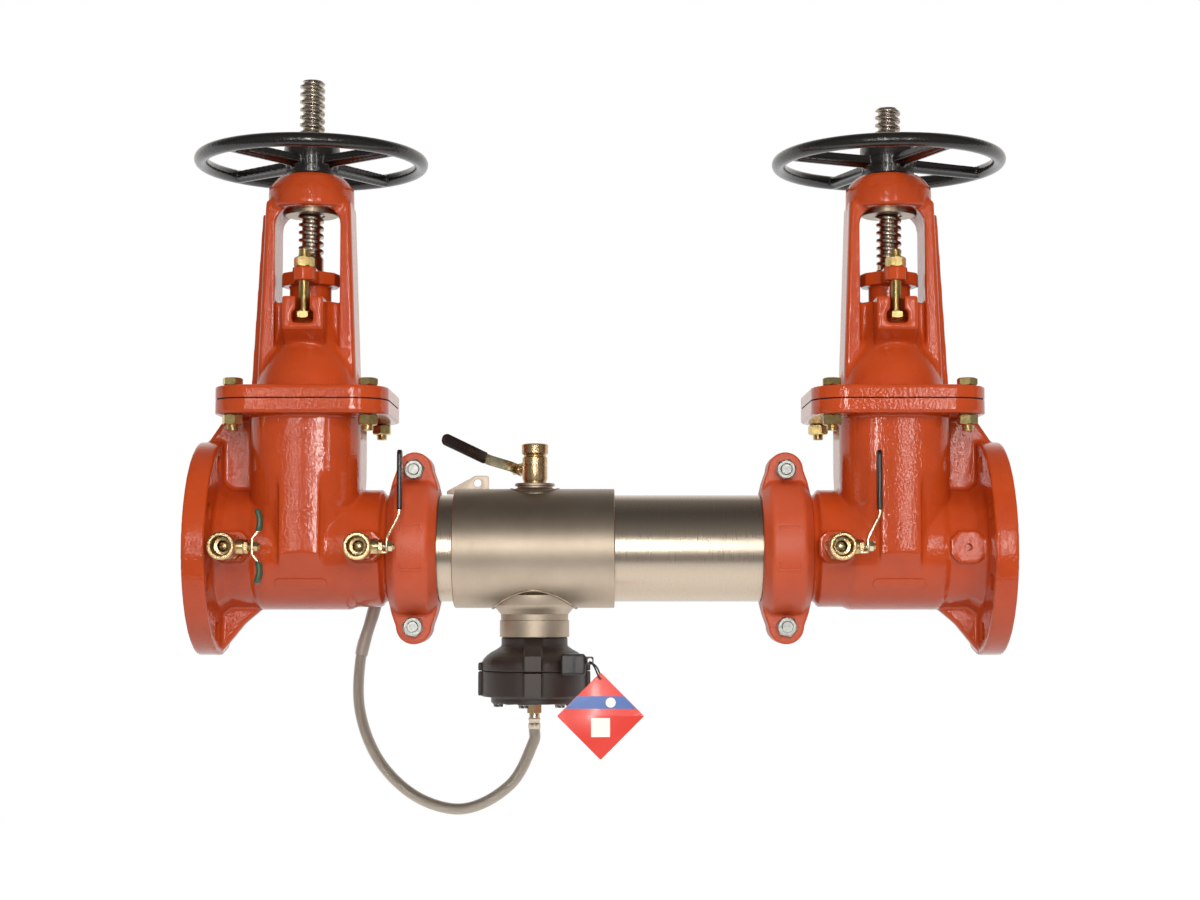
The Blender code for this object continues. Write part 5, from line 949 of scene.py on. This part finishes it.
# The check body is 304 stainless tube: a wide tee shell, bead-blasted to a satin skin, on a
# pipe that is polished bright. The branch, the cock's boss and a lifting lug are welded on.
TEE_START_X = 0.2726
TEE_END_X = 0.4441
TEE_R = 0.064
SHELL_T = 0.005
COLLAR_R = 0.03725
PIPE_LOW_X = 0.2318
PIPE_HIGH_X = 0.6254


def brushed(tree, shader, across, low, high, depth):
    """Fine marks that run round the pipe, in its roughness and as a bump."""
    where = add(tree, "TexCoord")
    stretched = add(tree, "Mapping", {"Vector": where.outputs["Object"], "Scale": (900.0, across, across)})
    marks = add(tree, "TexNoise", {"Vector": stretched.outputs["Vector"], "Scale": 1.0, "Detail": 4.0})
    tangent = add(tree, "Tangent", direction_type="RADIAL", axis="X")
    tree.links.new(tangent.outputs["Tangent"], shader.inputs["Tangent"])
    worn(tree, shader, marks.outputs["Fac"], low, high)
    relief(tree, shader, marks.outputs["Fac"], depth)


satin, tree, shader = substance("bead_blasted_stainless", "#C4B4A2", metallic=1.0, roughness=0.5, anisotropic=0.35,
                                anisotropic_rotation=0.25)
two_tones(tree, shader, noise(tree, 16.0, 5.0, 0.6), "#A39380", "#CFC2B1")
brushed(tree, shader, 60.0, 0.4, 0.56, 0.00005)
polished, tree, shader = substance("belt_polished_stainless_pipe", "#C2B4A3", metallic=1.0, roughness=0.38,
                                   anisotropic=0.5, anisotropic_rotation=0.25)
brushed(tree, shader, 40.0, 0.22, 0.36, 0.00004)
GROOVE_FROM_END = 0.0159
GROOVE_TO_END = 0.0254
shell = crisp(lathe("tee_shell", [
    (TEE_R - 0.0008, TEE_END_X), (TEE_R, TEE_END_X - 0.0008), (TEE_R, TEE_START_X + 0.0008),
    (TEE_R - 0.0008, TEE_START_X), (PIPE_R - 0.0005, TEE_START_X), (PIPE_R - 0.0005, TEE_END_X),
], 128, ALONG_X), 30.0)
branch = lathe("branch_pipe", [
    (0.045, -0.05), (0.0448, -0.06), (0.0436, -0.0628), (COLLAR_R + 0.0032, -0.0655), (COLLAR_R + 0.0006, -0.0688),
    (COLLAR_R - 0.001, -0.0705), (COLLAR_R - 0.0012, -0.0768), (COLLAR_R, -0.0772), (COLLAR_R, -0.0944),
    (COLLAR_R - 0.0006, -0.095), (0.03, -0.095), (0.03, -0.05),
], 96, shift(BRANCH_X))
boss = lathe("cock_boss", [
    (0.0205, 0.07), (0.0215, 0.0693), (0.0215, 0.0672), (0.019, 0.0666), (0.019, 0.065), (0.0222, 0.064),
    (0.0245, 0.0615), (0.0262, 0.0585), (0.0262, 0.054), (0.0102, 0.054), (0.0102, 0.07),
], 64, shift(BRANCH_X))
for piece in (shell, branch, boss):
    fit(crisp(piece, 35.0), satin, "assembly", "stainless_steel")
pipe_form = crisp(lathe("check_body_pipe", [
    (PIPE_R - 0.0006, PIPE_HIGH_X), (PIPE_R, PIPE_HIGH_X - 0.0006), (PIPE_R, PIPE_HIGH_X - GROOVE_FROM_END),
    (PIPE_R - GROOVE_DEPTH, PIPE_HIGH_X - GROOVE_FROM_END), (PIPE_R - GROOVE_DEPTH, PIPE_HIGH_X - GROOVE_TO_END),
    (PIPE_R, PIPE_HIGH_X - GROOVE_TO_END), (PIPE_R, PIPE_LOW_X + GROOVE_TO_END),
    (PIPE_R - GROOVE_DEPTH, PIPE_LOW_X + GROOVE_TO_END), (PIPE_R - GROOVE_DEPTH, PIPE_LOW_X + GROOVE_FROM_END),
    (PIPE_R, PIPE_LOW_X + GROOVE_FROM_END), (PIPE_R, PIPE_LOW_X + 0.0006), (PIPE_R - 0.0006, PIPE_LOW_X),
    (PIPE_R - SHELL_T, PIPE_LOW_X), (PIPE_R - SHELL_T, PIPE_HIGH_X),
], 128, ALONG_X), 30.0)
fit(pipe_form, polished, "assembly", "stainless_steel", "zone_body")


# The lug is laser-cut stainless plate, 3 mm thick, pale from pickling after it was welded on.
pickled = surface("pickled_stainless_plate", "#D8C9B8", (70.0, 3.0), ("#C8B7A4", "#E4D8CA"), metallic=0.7,
                  roughness=0.5)
LUG_Y = 0.03
lug = prism("lifting_lug", round_corners([
    (TEE_START_X - 0.0115, 0.0595, 0.0008), (TEE_START_X - 0.0115, 0.063, 0.0015), (TEE_START_X + 0.02, 0.08, 0.004),
    (TEE_START_X + 0.0345, 0.08, 0.0028), (TEE_START_X + 0.0345, 0.052, 0.0), (TEE_START_X + 0.004, 0.052, 0.0),
    (TEE_START_X + 0.004, 0.0595, 0.0),
], 6), -0.0015, 0.0015, shift(0.0, LUG_Y) @ FRONT_VIEW)
lug_hole = rod("lug_hole", 0.0042, 0.01, -0.01, 32, shift(TEE_START_X + 0.0222, LUG_Y, 0.072) @ ALONG_Y)
fit(eased(cut(lug, lug_hole), 0.0004), pickled, "assembly", "stainless_steel")


# Weld beads: a rippled fillet round the branch's saddle and the boss, and short tacks on the lug.
weld = surface("stainless_weld", "#A99A86", (120.0, 3.0), ("#6E5A48", "#CFC1AC"), metallic=1.0, roughness=0.3)


def bead(name, points, radius, ripple):
    """A weld bead that follows points, with one ripple for each step of the torch."""
    run = sleeve(name, points, lambda done: radius * (1.0 + 0.14 * math.sin(done / ripple * 2 * math.pi)), 12)
    fit(crisp(run, 80.0), weld, "assembly", "stainless_steel")


def round_pipe(radius, pipe, sign, count=220):
    """Points where an upright tube of a radius meets the tee's shell."""
    points = []
    for k in range(count + 1):
        a = 2 * math.pi * k / count
        y = radius * math.sin(a)
        points.append(Vector((BRANCH_X + radius * math.cos(a), y, sign * math.sqrt(pipe**2 - y**2))))
    return points


bead("branch_weld", round_pipe(0.0446, TEE_R - 0.0006, -1.0), 0.0019, 0.003)
bead("boss_weld", round_pipe(0.0255, TEE_R - 0.0004, 1.0), 0.0013, 0.0022)
tack_z = math.sqrt(TEE_R**2 - LUG_Y**2)
tack_from = TEE_START_X + 0.019
tack_points = [Vector((tack_from + 0.0005 * k, LUG_Y - 0.0024, tack_z + 0.0004)) for k in range(31)]
bead("lug_weld", tack_points, 0.0014, 0.0024)


# Inside the body two swing checks close on moulded seats. Only their faces show down the bore.
check_plastic = surface("glass_filled_acetal", "#3C3E40", (700.0, 2.0), ("#2E3032", "#4A4C4E"), roughness=0.45,
                        ior=1.48)
for node in ("check_1_seat", "check_2_seat", "relief_spindle"):
    dress(node, check_plastic)
for node in ("check_1_spring", "check_2_spring", "relief_spring"):
    dress(node, turned_steel)


# The relief valve is glass-filled nylon, black, with a fine moulded grain. The body hangs from
# the branch; the cover below it is held on by six steel screws and clamps the diaphragm.
nylon = surface("glass_filled_nylon", "#2A211D", (900.0, 3.0, 0.6), ("#231B18", "#352A25"), spread=(0.34, 0.52),
                depth=0.00012, roughness=0.42, ior=1.53)
RELIEF_R = 0.0565
RELIEF_SPLIT_Z = -0.131
COVER_SCREWS = 6
SCREW_CIRCLE_R = 0.0395
centre = shift(BRANCH_X)
shoulder = lathe("relief_shoulder", [
    (0.0355, -0.0953), (0.0355, -0.104), (0.0372, -0.1062), (0.041, -0.1083), (0.0465, -0.1112), (0.0515, -0.115),
    (0.0548, -0.119), (0.0562, -0.1225), (RELIEF_R, -0.125), (RELIEF_R, RELIEF_SPLIT_Z + 0.0003),
    (0.05, RELIEF_SPLIT_Z + 0.0003), (0.05, -0.124), (0.0395, -0.112), (0.029, -0.106), (0.029, -0.0953),
], 96, centre)
body = cast("relief_body_moulding", [cad_copy("relief_body"), shoulder], 0.001, 2)
fit(body, nylon, "assembly", "black_plastic", "relief_body")
drum = lathe("relief_drum", [
    (RELIEF_R, RELIEF_SPLIT_Z), (RELIEF_R, -0.157), (RELIEF_R - 0.001, -0.158), (0.0465, -0.158), (0.0465, -0.1642),
    (0.0457, -0.165), (0.0072, -0.165), (0.0072, -0.1588), (0.0435, -0.1588), (0.0435, RELIEF_SPLIT_Z),
], 96, centre)
cover = cast("relief_cover_moulding", [cad_copy("relief_cover"), drum], 0.001, 2)
fit(cover, nylon, "assembly", "black_plastic", "relief_cover")


# The cover's screws are plated steel with washer faces, six on a 79 mm circle.
for index in range(COVER_SCREWS):
    a = 2 * math.pi * (index + 0.25) / COVER_SCREWS
    rim = shift(SCREW_CIRCLE_R * math.cos(a), SCREW_CIRCLE_R * math.sin(a))
    spot = centre @ rim @ Matrix.Rotation(index * 1.1, 4, "Z")
    screw = joined("cover_screw_%d" % (index + 1), [
        hexagon("screw_head", 0.0095, -0.1689, -0.1662, spot),
        rod("screw_washer", 0.0058, -0.1652, -0.1662, 32, spot),
    ])
    fit(crisp(screw, 28.0), clear_zinc, "assembly", "clear_zinc")


# Test cocks are small brass ball valves, screwed into the valve bodies and the tee's boss. The
# ends are turned round with a plain face, and a hexagon at the root takes the wrench.
COCK_3_TURN = math.radians(133.0)
COCK_3_RISE = math.radians(18.0)
FORWARD = ((1.0, 0.0, 0.0), (0.0, -1.0, 0.0), 0.0345)
COCKS = (
    (1, (FLANGE_COCK_X, -PAD_Y, 0.0), *FORWARD),
    (2, (ELBOW_X, -PAD_Y, 0.0), *FORWARD),
    (3, (BRANCH_X, 0.0, 0.07), (math.cos(COCK_3_TURN), math.sin(COCK_3_TURN), 0.0), (0.0, 0.0, 1.0), 0.016),
    (4, (LAY_LENGTH - ELBOW_X, -PAD_Y, 0.0), *FORWARD),
)


def facing(x_way, z_way):
    """A turn that takes +X and +Z to two square directions."""
    x_way = Vector(x_way).normalized()
    z_way = Vector(z_way).normalized()
    return Matrix((x_way, z_way.cross(x_way), z_way)).transposed().to_4x4()


for number, root, stem_way, flow_way, reach in COCKS:
    name = "test_cock_%d" % number
    place = Matrix.Translation(root) @ facing(stem_way, flow_way)
    end = reach + 0.0265
    thread = [(0.0096 if k % 2 else 0.0091, end - 0.001 * (11 - k)) for k in range(1, 10)]
    barrel = lathe(name + "_barrel", [
        (0.0129, end), (0.0141, end - 0.0008), (0.0143, end - 0.0016), (0.0143, end - 0.0098), (0.0135, end - 0.0108),
        (0.012, end - 0.0122), (0.0119, end - 0.0132), (0.0134, end - 0.0148), (0.0135, end - 0.016),
        (0.0135, reach + 0.0045), (0.0131, reach + 0.004), (0.0131, reach + 0.003), (0.0135, reach + 0.0025),
        (0.0135, reach - 0.011), (0.0123, reach - 0.014), (0.0123, 0.0003), (0.0099, 0.0003), (0.0099, -0.0117),
        (0.006, -0.0117), (0.006, reach - 0.0098), (0.0098, reach - 0.006), (0.0098, reach + 0.006),
        (0.006, reach + 0.0098), (0.006, end - 0.014), (0.0088, end - 0.0135), (0.0088, end - 0.011),
    ] + thread + [(0.0108, end)], 64, place)
    pieces = [barrel]
    if number != 3:
        pieces.append(lathe(name + "_wrench_ring", [
            (0.0125, 0.016), (0.0138, 0.015), (0.0138, 0.0062), (0.0125, 0.0052), (0.011, 0.0052), (0.011, 0.016),
        ], 6, place))
    side = place @ shift(0.0, 0.0, reach) @ ALONG_X
    pieces.append(lathe(name + "_stem_boss", [
        (0.006, 0.0195), (0.0076, 0.0188), (0.0078, 0.0178), (0.0078, 0.0115), (0.0045, 0.0115), (0.0045, 0.0195),
    ], 32, side))
    packing_nut = hexagon(name + "_packing_nut", 0.0125, 0.019, 0.024, side)
    pieces.append(cut(packing_nut, rod(name + "_stem_room", 0.0042, 0.03, 0.01, 24, side)))
    fit(crisp(joined(name + "_brass_body", pieces), 30.0), brass, "assembly", "brass", name + "_body")


# Each cock's lever is a strip of plated steel, cranked clear of the body, with a dipped vinyl
# grip. Cock 1 has a short two-winged handle in dark green vinyl instead.
plated = surface("plated_steel_strip", "#DCD3B4", (150.0, 3.0), ("#C2B078", "#F0EBD6"), metallic=1.0,
                 roughness=0.26)
black_vinyl = surface("black_dipped_vinyl", "#1A1210", (130.0, 2.0), depth=0.0003, roughness=0.27, ior=1.54)
green_vinyl = surface("green_dipped_vinyl", "#33513C", (130.0, 2.0), depth=0.0003, roughness=0.3, ior=1.54)
LEVER_LIFT = 0.028
LEVER_OFFSET = 0.0126
STRIP_T = 0.0022
BALL_R = 0.0095


def strip(name, side, half_width, thickness, place):
    """A bent strip: a side view of (along, up) points, given a thickness and a width."""
    points = [Vector(p) for p in side]
    offsets = []
    for i, point in enumerate(points):
        before = (point - points[i - 1]).normalized() if i else (points[1] - point).normalized()
        after = (points[i + 1] - point).normalized() if i + 1 < len(points) else before
        middle = (before + after).normalized()
        offsets.append(Vector((-middle.y, middle.x)) * (thickness / 2 / max(0.5, middle.dot(before))))
    upper = [tuple(p + o) for p, o in zip(points, offsets)]
    lower = [tuple(p - o) for p, o in zip(points, offsets)]
    return prism(name, upper + lower[::-1], -half_width, half_width, place @ FRONT_VIEW)


def grip(name, length_from, length_to, half_width, thickness, height, place):
    """The vinyl dip over the end of a lever: a rounded pad with a full, soft edge."""
    tip = half_width * 0.9
    outline = round_corners([
        (length_from, -half_width, 0.0015), (length_to, -half_width, tip), (length_to, half_width, tip),
        (length_from, half_width, 0.0015),
    ], 8)
    pad = prism(name, outline, height - thickness / 2, height + thickness / 2, place)
    return eased(pad, thickness * 0.32, 3)


for number, root, stem_way, flow_way, reach in COCKS:
    name = "test_cock_%d" % number
    body_name = "cock_%d_lever" % number
    if number == 3:
        level = Vector((-math.sin(COCK_3_TURN), math.cos(COCK_3_TURN), 0.0))
        lever_way = level * math.cos(COCK_3_RISE) + Vector((0.0, 0.0, math.sin(COCK_3_RISE)))
    else:
        lever_way = Vector((0.0, 0.0, 1.0))
    pivot = Vector(root) + Vector(flow_way) * reach
    place = Matrix.Translation(pivot) @ facing(lever_way, stem_way)
    arc = [math.pi * k / 16 for k in range(1, 16)]
    ball = turned(name + "_ball", [(BALL_R * math.sin(a), BALL_R * math.cos(a)) for a in arc], 32, place)
    ball_way = rod(name + "_ball_way", 0.005, 0.02, -0.02, 24, place @ ALONG_X)
    spindle = joined(name + "_spindle", [
        cut(ball, ball_way),
        threaded(name + "_stem", 0.0034, 0.0029, 0.001, 0.007, LEVER_LIFT + 0.0078, 20, place=place),
        hexagon(name + "_nut", 0.0098, LEVER_LIFT + 0.0013, LEVER_LIFT + 0.006, place),
    ])
    fit(crisp(spindle, 30.0), plated if number != 1 else brass, body_name, "brass")
    lift = LEVER_LIFT
    if number == 1:
        bow = 0.0065
        half = [(0.008, 0.0), (0.0125, 0.0036), (0.0165, bow), (0.028, bow + 0.0012), (0.0372, bow - 0.0018)]
        spine = [(-u, lift + v) for u, v in half[::-1]] + [(u, lift + v) for u, v in half]
        wings = strip(name + "_strip", spine, 0.005, STRIP_T, place)
        fit(eased(wings, 0.0004), plated, body_name, "green_vinyl", name + "_handle")
        dipped = [
            (0.015, bow - 0.0008), (0.021, bow + 0.001), (0.028, bow + 0.0012), (0.034, bow - 0.0004),
            (0.0382, bow - 0.0026),
        ]
        for word, sign in (("upper", 1.0), ("lower", -1.0)):
            spine = [(sign * u, lift + v) for u, v in dipped]
            dip = strip(name + "_" + word + "_wing", spine, 0.0066, 0.0056, place)
            fit(eased(dip, 0.0024, 3), green_vinyl, body_name, "green_vinyl")
    else:
        top = lift + LEVER_OFFSET
        side = [
            (-0.0062, lift), (0.006, lift), (0.01, lift + 0.0006), (0.03, top - 0.0012), (0.034, top), (0.07, top),
        ]
        bar = strip(name + "_strip", side, 0.0056, STRIP_T, place)
        fit(eased(bar, 0.0004), plated, body_name, "black_vinyl", name + "_handle")
        tab = strip(name + "_stop", [(-0.006, lift), (-0.0062, lift - 0.0075)], 0.003, STRIP_T, place)
        fit(eased(tab, 0.0004), plated, body_name, "black_vinyl")
        fit(grip(name + "_grip", 0.0375, 0.0995, 0.0064, 0.005, top, place), black_vinyl, body_name, "black_vinyl")


# The flood sensor is a moulded ABS box on a short neck that clips round the relief valve.
abs_plastic = surface("black_abs", "#1B1817", (1100.0, 2.0), depth=0.0001, roughness=0.33, ior=1.53)
sensor = cast("flood_sensor_moulding", [cad_copy("flood_sensor")], 0.0006, 1)
fit(sensor, abs_plastic, "assembly", "black_plastic", "flood_sensor")
SENSOR_X = 0.4004
SENSOR_Z = -0.1225
lid_spot = shift(SENSOR_X, -0.0592, SENSOR_Z) @ FRONT_VIEW
lid = prism("sensor_lid", rounded_square(0.0118, 0.0098, 0.0025, 6), 0.0, 0.0008, lid_spot)
fit(eased(lid, 0.0003), abs_plastic, "assembly", "black_plastic")


# The tag is a diamond of printed film, 64 mm on a side, hung from the sensor by a thin black
# tie. It is blank: a red ground, a blue band across it and a white square below.
TAG_X = 0.4292
TAG_Y = -0.068
TAG_TOP_Z = -0.13
TAG_CORNER = 0.064 / math.sqrt(2)
TAG_MIDDLE_Z = TAG_TOP_Z - TAG_CORNER
FILM_T = 0.0008
FILM_LOOK = dict(depth=0.0004, roughness=0.32, ior=1.5, coat_weight=0.3, coat_roughness=0.12)
red_print = surface("red_printed_film", "#E2392C", (45.0, 1.0), **FILM_LOOK)
blue_print = surface("blue_printed_film", "#3A66B0", (45.0, 1.0), **FILM_LOOK)
white_print = surface("white_printed_film", "#F4F1EC", (45.0, 1.0), **FILM_LOOK)
card = prism("tag_film", round_corners([
    (0.0, TAG_CORNER, 0.0015), (-TAG_CORNER, 0.0, 0.0015), (0.0, -TAG_CORNER, 0.0015), (TAG_CORNER, 0.0, 0.0015),
], 6), -FILM_T / 2, FILM_T / 2, shift(TAG_X, TAG_Y, TAG_MIDDLE_Z) @ FRONT_VIEW)
fit(eased(card, 0.0002), red_print, "tag", "tag_red", "hang_tag")
BAND_HIGH = 0.0205
BAND_LOW = 0.0075
band_outline = [
    (-(TAG_CORNER - BAND_HIGH) + 0.0004, BAND_HIGH), (-(TAG_CORNER - BAND_LOW) + 0.0004, BAND_LOW),
    (TAG_CORNER - BAND_LOW - 0.0004, BAND_LOW), (TAG_CORNER - BAND_HIGH - 0.0004, BAND_HIGH),
]
film_front = shift(TAG_X, TAG_Y - FILM_T / 2, TAG_MIDDLE_Z) @ FRONT_VIEW
band = prism("tag_band", band_outline, -0.0001, 0.00012, film_front)
fit(crisp(band), blue_print, "tag", "tag_red")
square_outline = rounded_square(0.0098, 0.0098, 0.0003, 2)
square = prism("tag_square", square_outline, -0.0001, 0.00012, film_front @ shift(0.0, -0.0118))
fit(crisp(square), white_print, "tag", "tag_red")
disc = rod("tag_disc", 0.0052, 0.00016, -0.0001, 48, film_front @ shift(0.0105, 0.014))
fit(crisp(disc), white_print, "tag", "tag_red")
EYELET_X = 0.4181
EYELET_Y = -0.054
TIE_Z = -0.1196
tie_points = smooth_route([
    (EYELET_X, EYELET_Y + 0.0034, TIE_Z), (EYELET_X, EYELET_Y, TIE_Z),
    (EYELET_X + 0.0002, EYELET_Y - 0.0042, TIE_Z - 0.0003),
    (EYELET_X + 0.004, EYELET_Y - 0.0078, TIE_Z - 0.004), (TAG_X - 0.0022, TAG_Y - 0.0024, TAG_TOP_Z - 0.004),
    (TAG_X - 0.0004, TAG_Y - 0.0012, TAG_TOP_Z - 0.0066), (TAG_X + 0.0004, TAG_Y + 0.001, TAG_TOP_Z - 0.0066),
    (TAG_X - 0.0004, TAG_Y + 0.0034, TAG_TOP_Z - 0.003), (EYELET_X + 0.007, EYELET_Y + 0.001, TIE_Z - 0.0056),
    (EYELET_X + 0.0012, EYELET_Y + 0.004, TIE_Z - 0.0006),
], 0.001)
tie = crisp(sleeve("tag_tie", tie_points, 0.0009, 12))
fit(tie, abs_plastic, "tag", "tag_red")


# Studio: a white paper floor that runs back into a white wall, three narrow upright softboxes
# beside the camera, a dim room above and in front, and two wide fills that glossy rays don't see.
FLOOR_Z = -0.33
SQUEEZE_X = 0.55
NEAR_REACH = 0.22
FAR_REACH = 0.53
NEAR_GLOW = 0.64
floor = prism("studio_floor", [(-9.0, -0.56), (10.0, -0.56), (10.0, 12.0), (-9.0, 12.0)], FLOOR_Z - 0.02, FLOOR_Z)
paper, tree, shader = substance("white_paper_floor", "#ECEBE9", roughness=0.9)
seen_by = add(tree, "LightPath")
direct = figure(tree, "ADD", seen_by.outputs["Is Camera Ray"], seen_by.outputs["Is Glossy Ray"])
direct = figure(tree, "ADD", direct, seen_by.outputs["Is Transmission Ray"], use_clamp=True)
where = add(tree, "TexCoord")
squeezed = add(tree, "VectorMath", {0: where.outputs["Object"], 1: (SQUEEZE_X, 1.0, 1.0)}, operation="MULTIPLY")
middle = (MIDDLE_X * SQUEEZE_X, 0.0, FLOOR_Z)
from_middle = add(tree, "VectorMath", {0: squeezed.outputs["Vector"], 1: middle}, operation="DISTANCE")
far = add(tree, "MapRange", {"Value": from_middle.outputs["Value"], "From Min": NEAR_REACH, "From Max": FAR_REACH},
          interpolation_type="SMOOTHSTEP")
glow = add(tree, "Emission", {"Strength": NEAR_GLOW})
white = add(tree, "Emission", {"Strength": 1.0})
near = add(tree, "AddShader", {0: shader.outputs[0], 1: glow.outputs[0]})
faded = add(tree, "MixShader", {0: far.outputs["Result"], 1: near.outputs[0], 2: white.outputs[0]})
looked_at = add(tree, "MixShader", {0: direct, 1: shader.outputs[0], 2: faded.outputs[0]})
tree.links.new(looked_at.outputs[0], tree.nodes["Material Output"].inputs["Surface"])
floor.data.materials.append(paper)

world = bpy.data.worlds.new("studio")
bpy.context.scene.world = world
world.use_nodes = True
tree = world.node_tree
tree.nodes.clear()
way = add(tree, "TexCoord")
axes_of_way = add(tree, "SeparateXYZ", {"Vector": way.outputs["Generated"]})
over = figure(tree, "ABSOLUTE", figure(tree, "ARCTAN2", axes_of_way.outputs["Z"], axes_of_way.outputs["Y"]))
room = add(tree, "ValToRGB", {"Fac": figure(tree, "DIVIDE", over, math.pi)})
ROOM_TONES = (
    (0.0, 1.0), (0.17, 1.0), (0.3, 0.26), (0.42, 0.17), (0.55, 0.1), (0.66, 0.14), (0.78, 0.24), (1.0, 0.27),
)
while len(room.color_ramp.elements) < len(ROOM_TONES):
    room.color_ramp.elements.new(0.5)
for stop, (place, tone) in zip(room.color_ramp.elements, ROOM_TONES):
    stop.position = place
    stop.color = (tone, tone * 0.97, tone * 0.93, 1.0)
room_light = add(tree, "Background", {"Color": room.outputs["Color"]})
white_back = add(tree, "Background", {"Color": (1.0, 1.0, 1.0, 1.0), "Strength": 1.0})
ray = add(tree, "LightPath")
seen = add(tree, "MixShader", {0: ray.outputs["Is Camera Ray"], 1: room_light.outputs[0], 2: white_back.outputs[0]})
add(tree, "OutputWorld", {"Surface": seen.outputs[0]})


def softbox(name, position, target, width, height, power):
    """A rectangular area light that faces a point."""
    data = bpy.data.lights.new(name, "AREA")
    data.shape = "RECTANGLE"
    data.size = width
    data.size_y = height
    data.energy = power
    data.color = (1.0, 0.97, 0.93)
    lamp = link(bpy.data.objects.new(name, data))
    lamp.location = position
    lamp.rotation_euler = (Vector(target) - Vector(position)).to_track_quat("-Z", "Y").to_euler()
    return lamp


AIM = (MIDDLE_X, 0.0, 0.08)
softbox("key_softbox", (0.32, -2.4, 0.21), (0.32, 0.0, 0.08), 0.12, 0.95, 14.0)
softbox("left_softbox", (-0.36, -2.35, 0.21), AIM, 0.08, 0.95, 3.0)
softbox("right_softbox", (1.24, -2.3, 0.21), AIM, 0.1, 0.95, 5.0)
top_fill = softbox("top_fill", (MIDDLE_X, -0.4, 2.0), AIM, 1.8, 1.4, 14.0)
front_fill = softbox("front_fill", (MIDDLE_X + 0.5, -2.5, 1.0), AIM, 1.8, 1.4, 33.0)
top_fill.visible_glossy = False
front_fill.visible_glossy = False
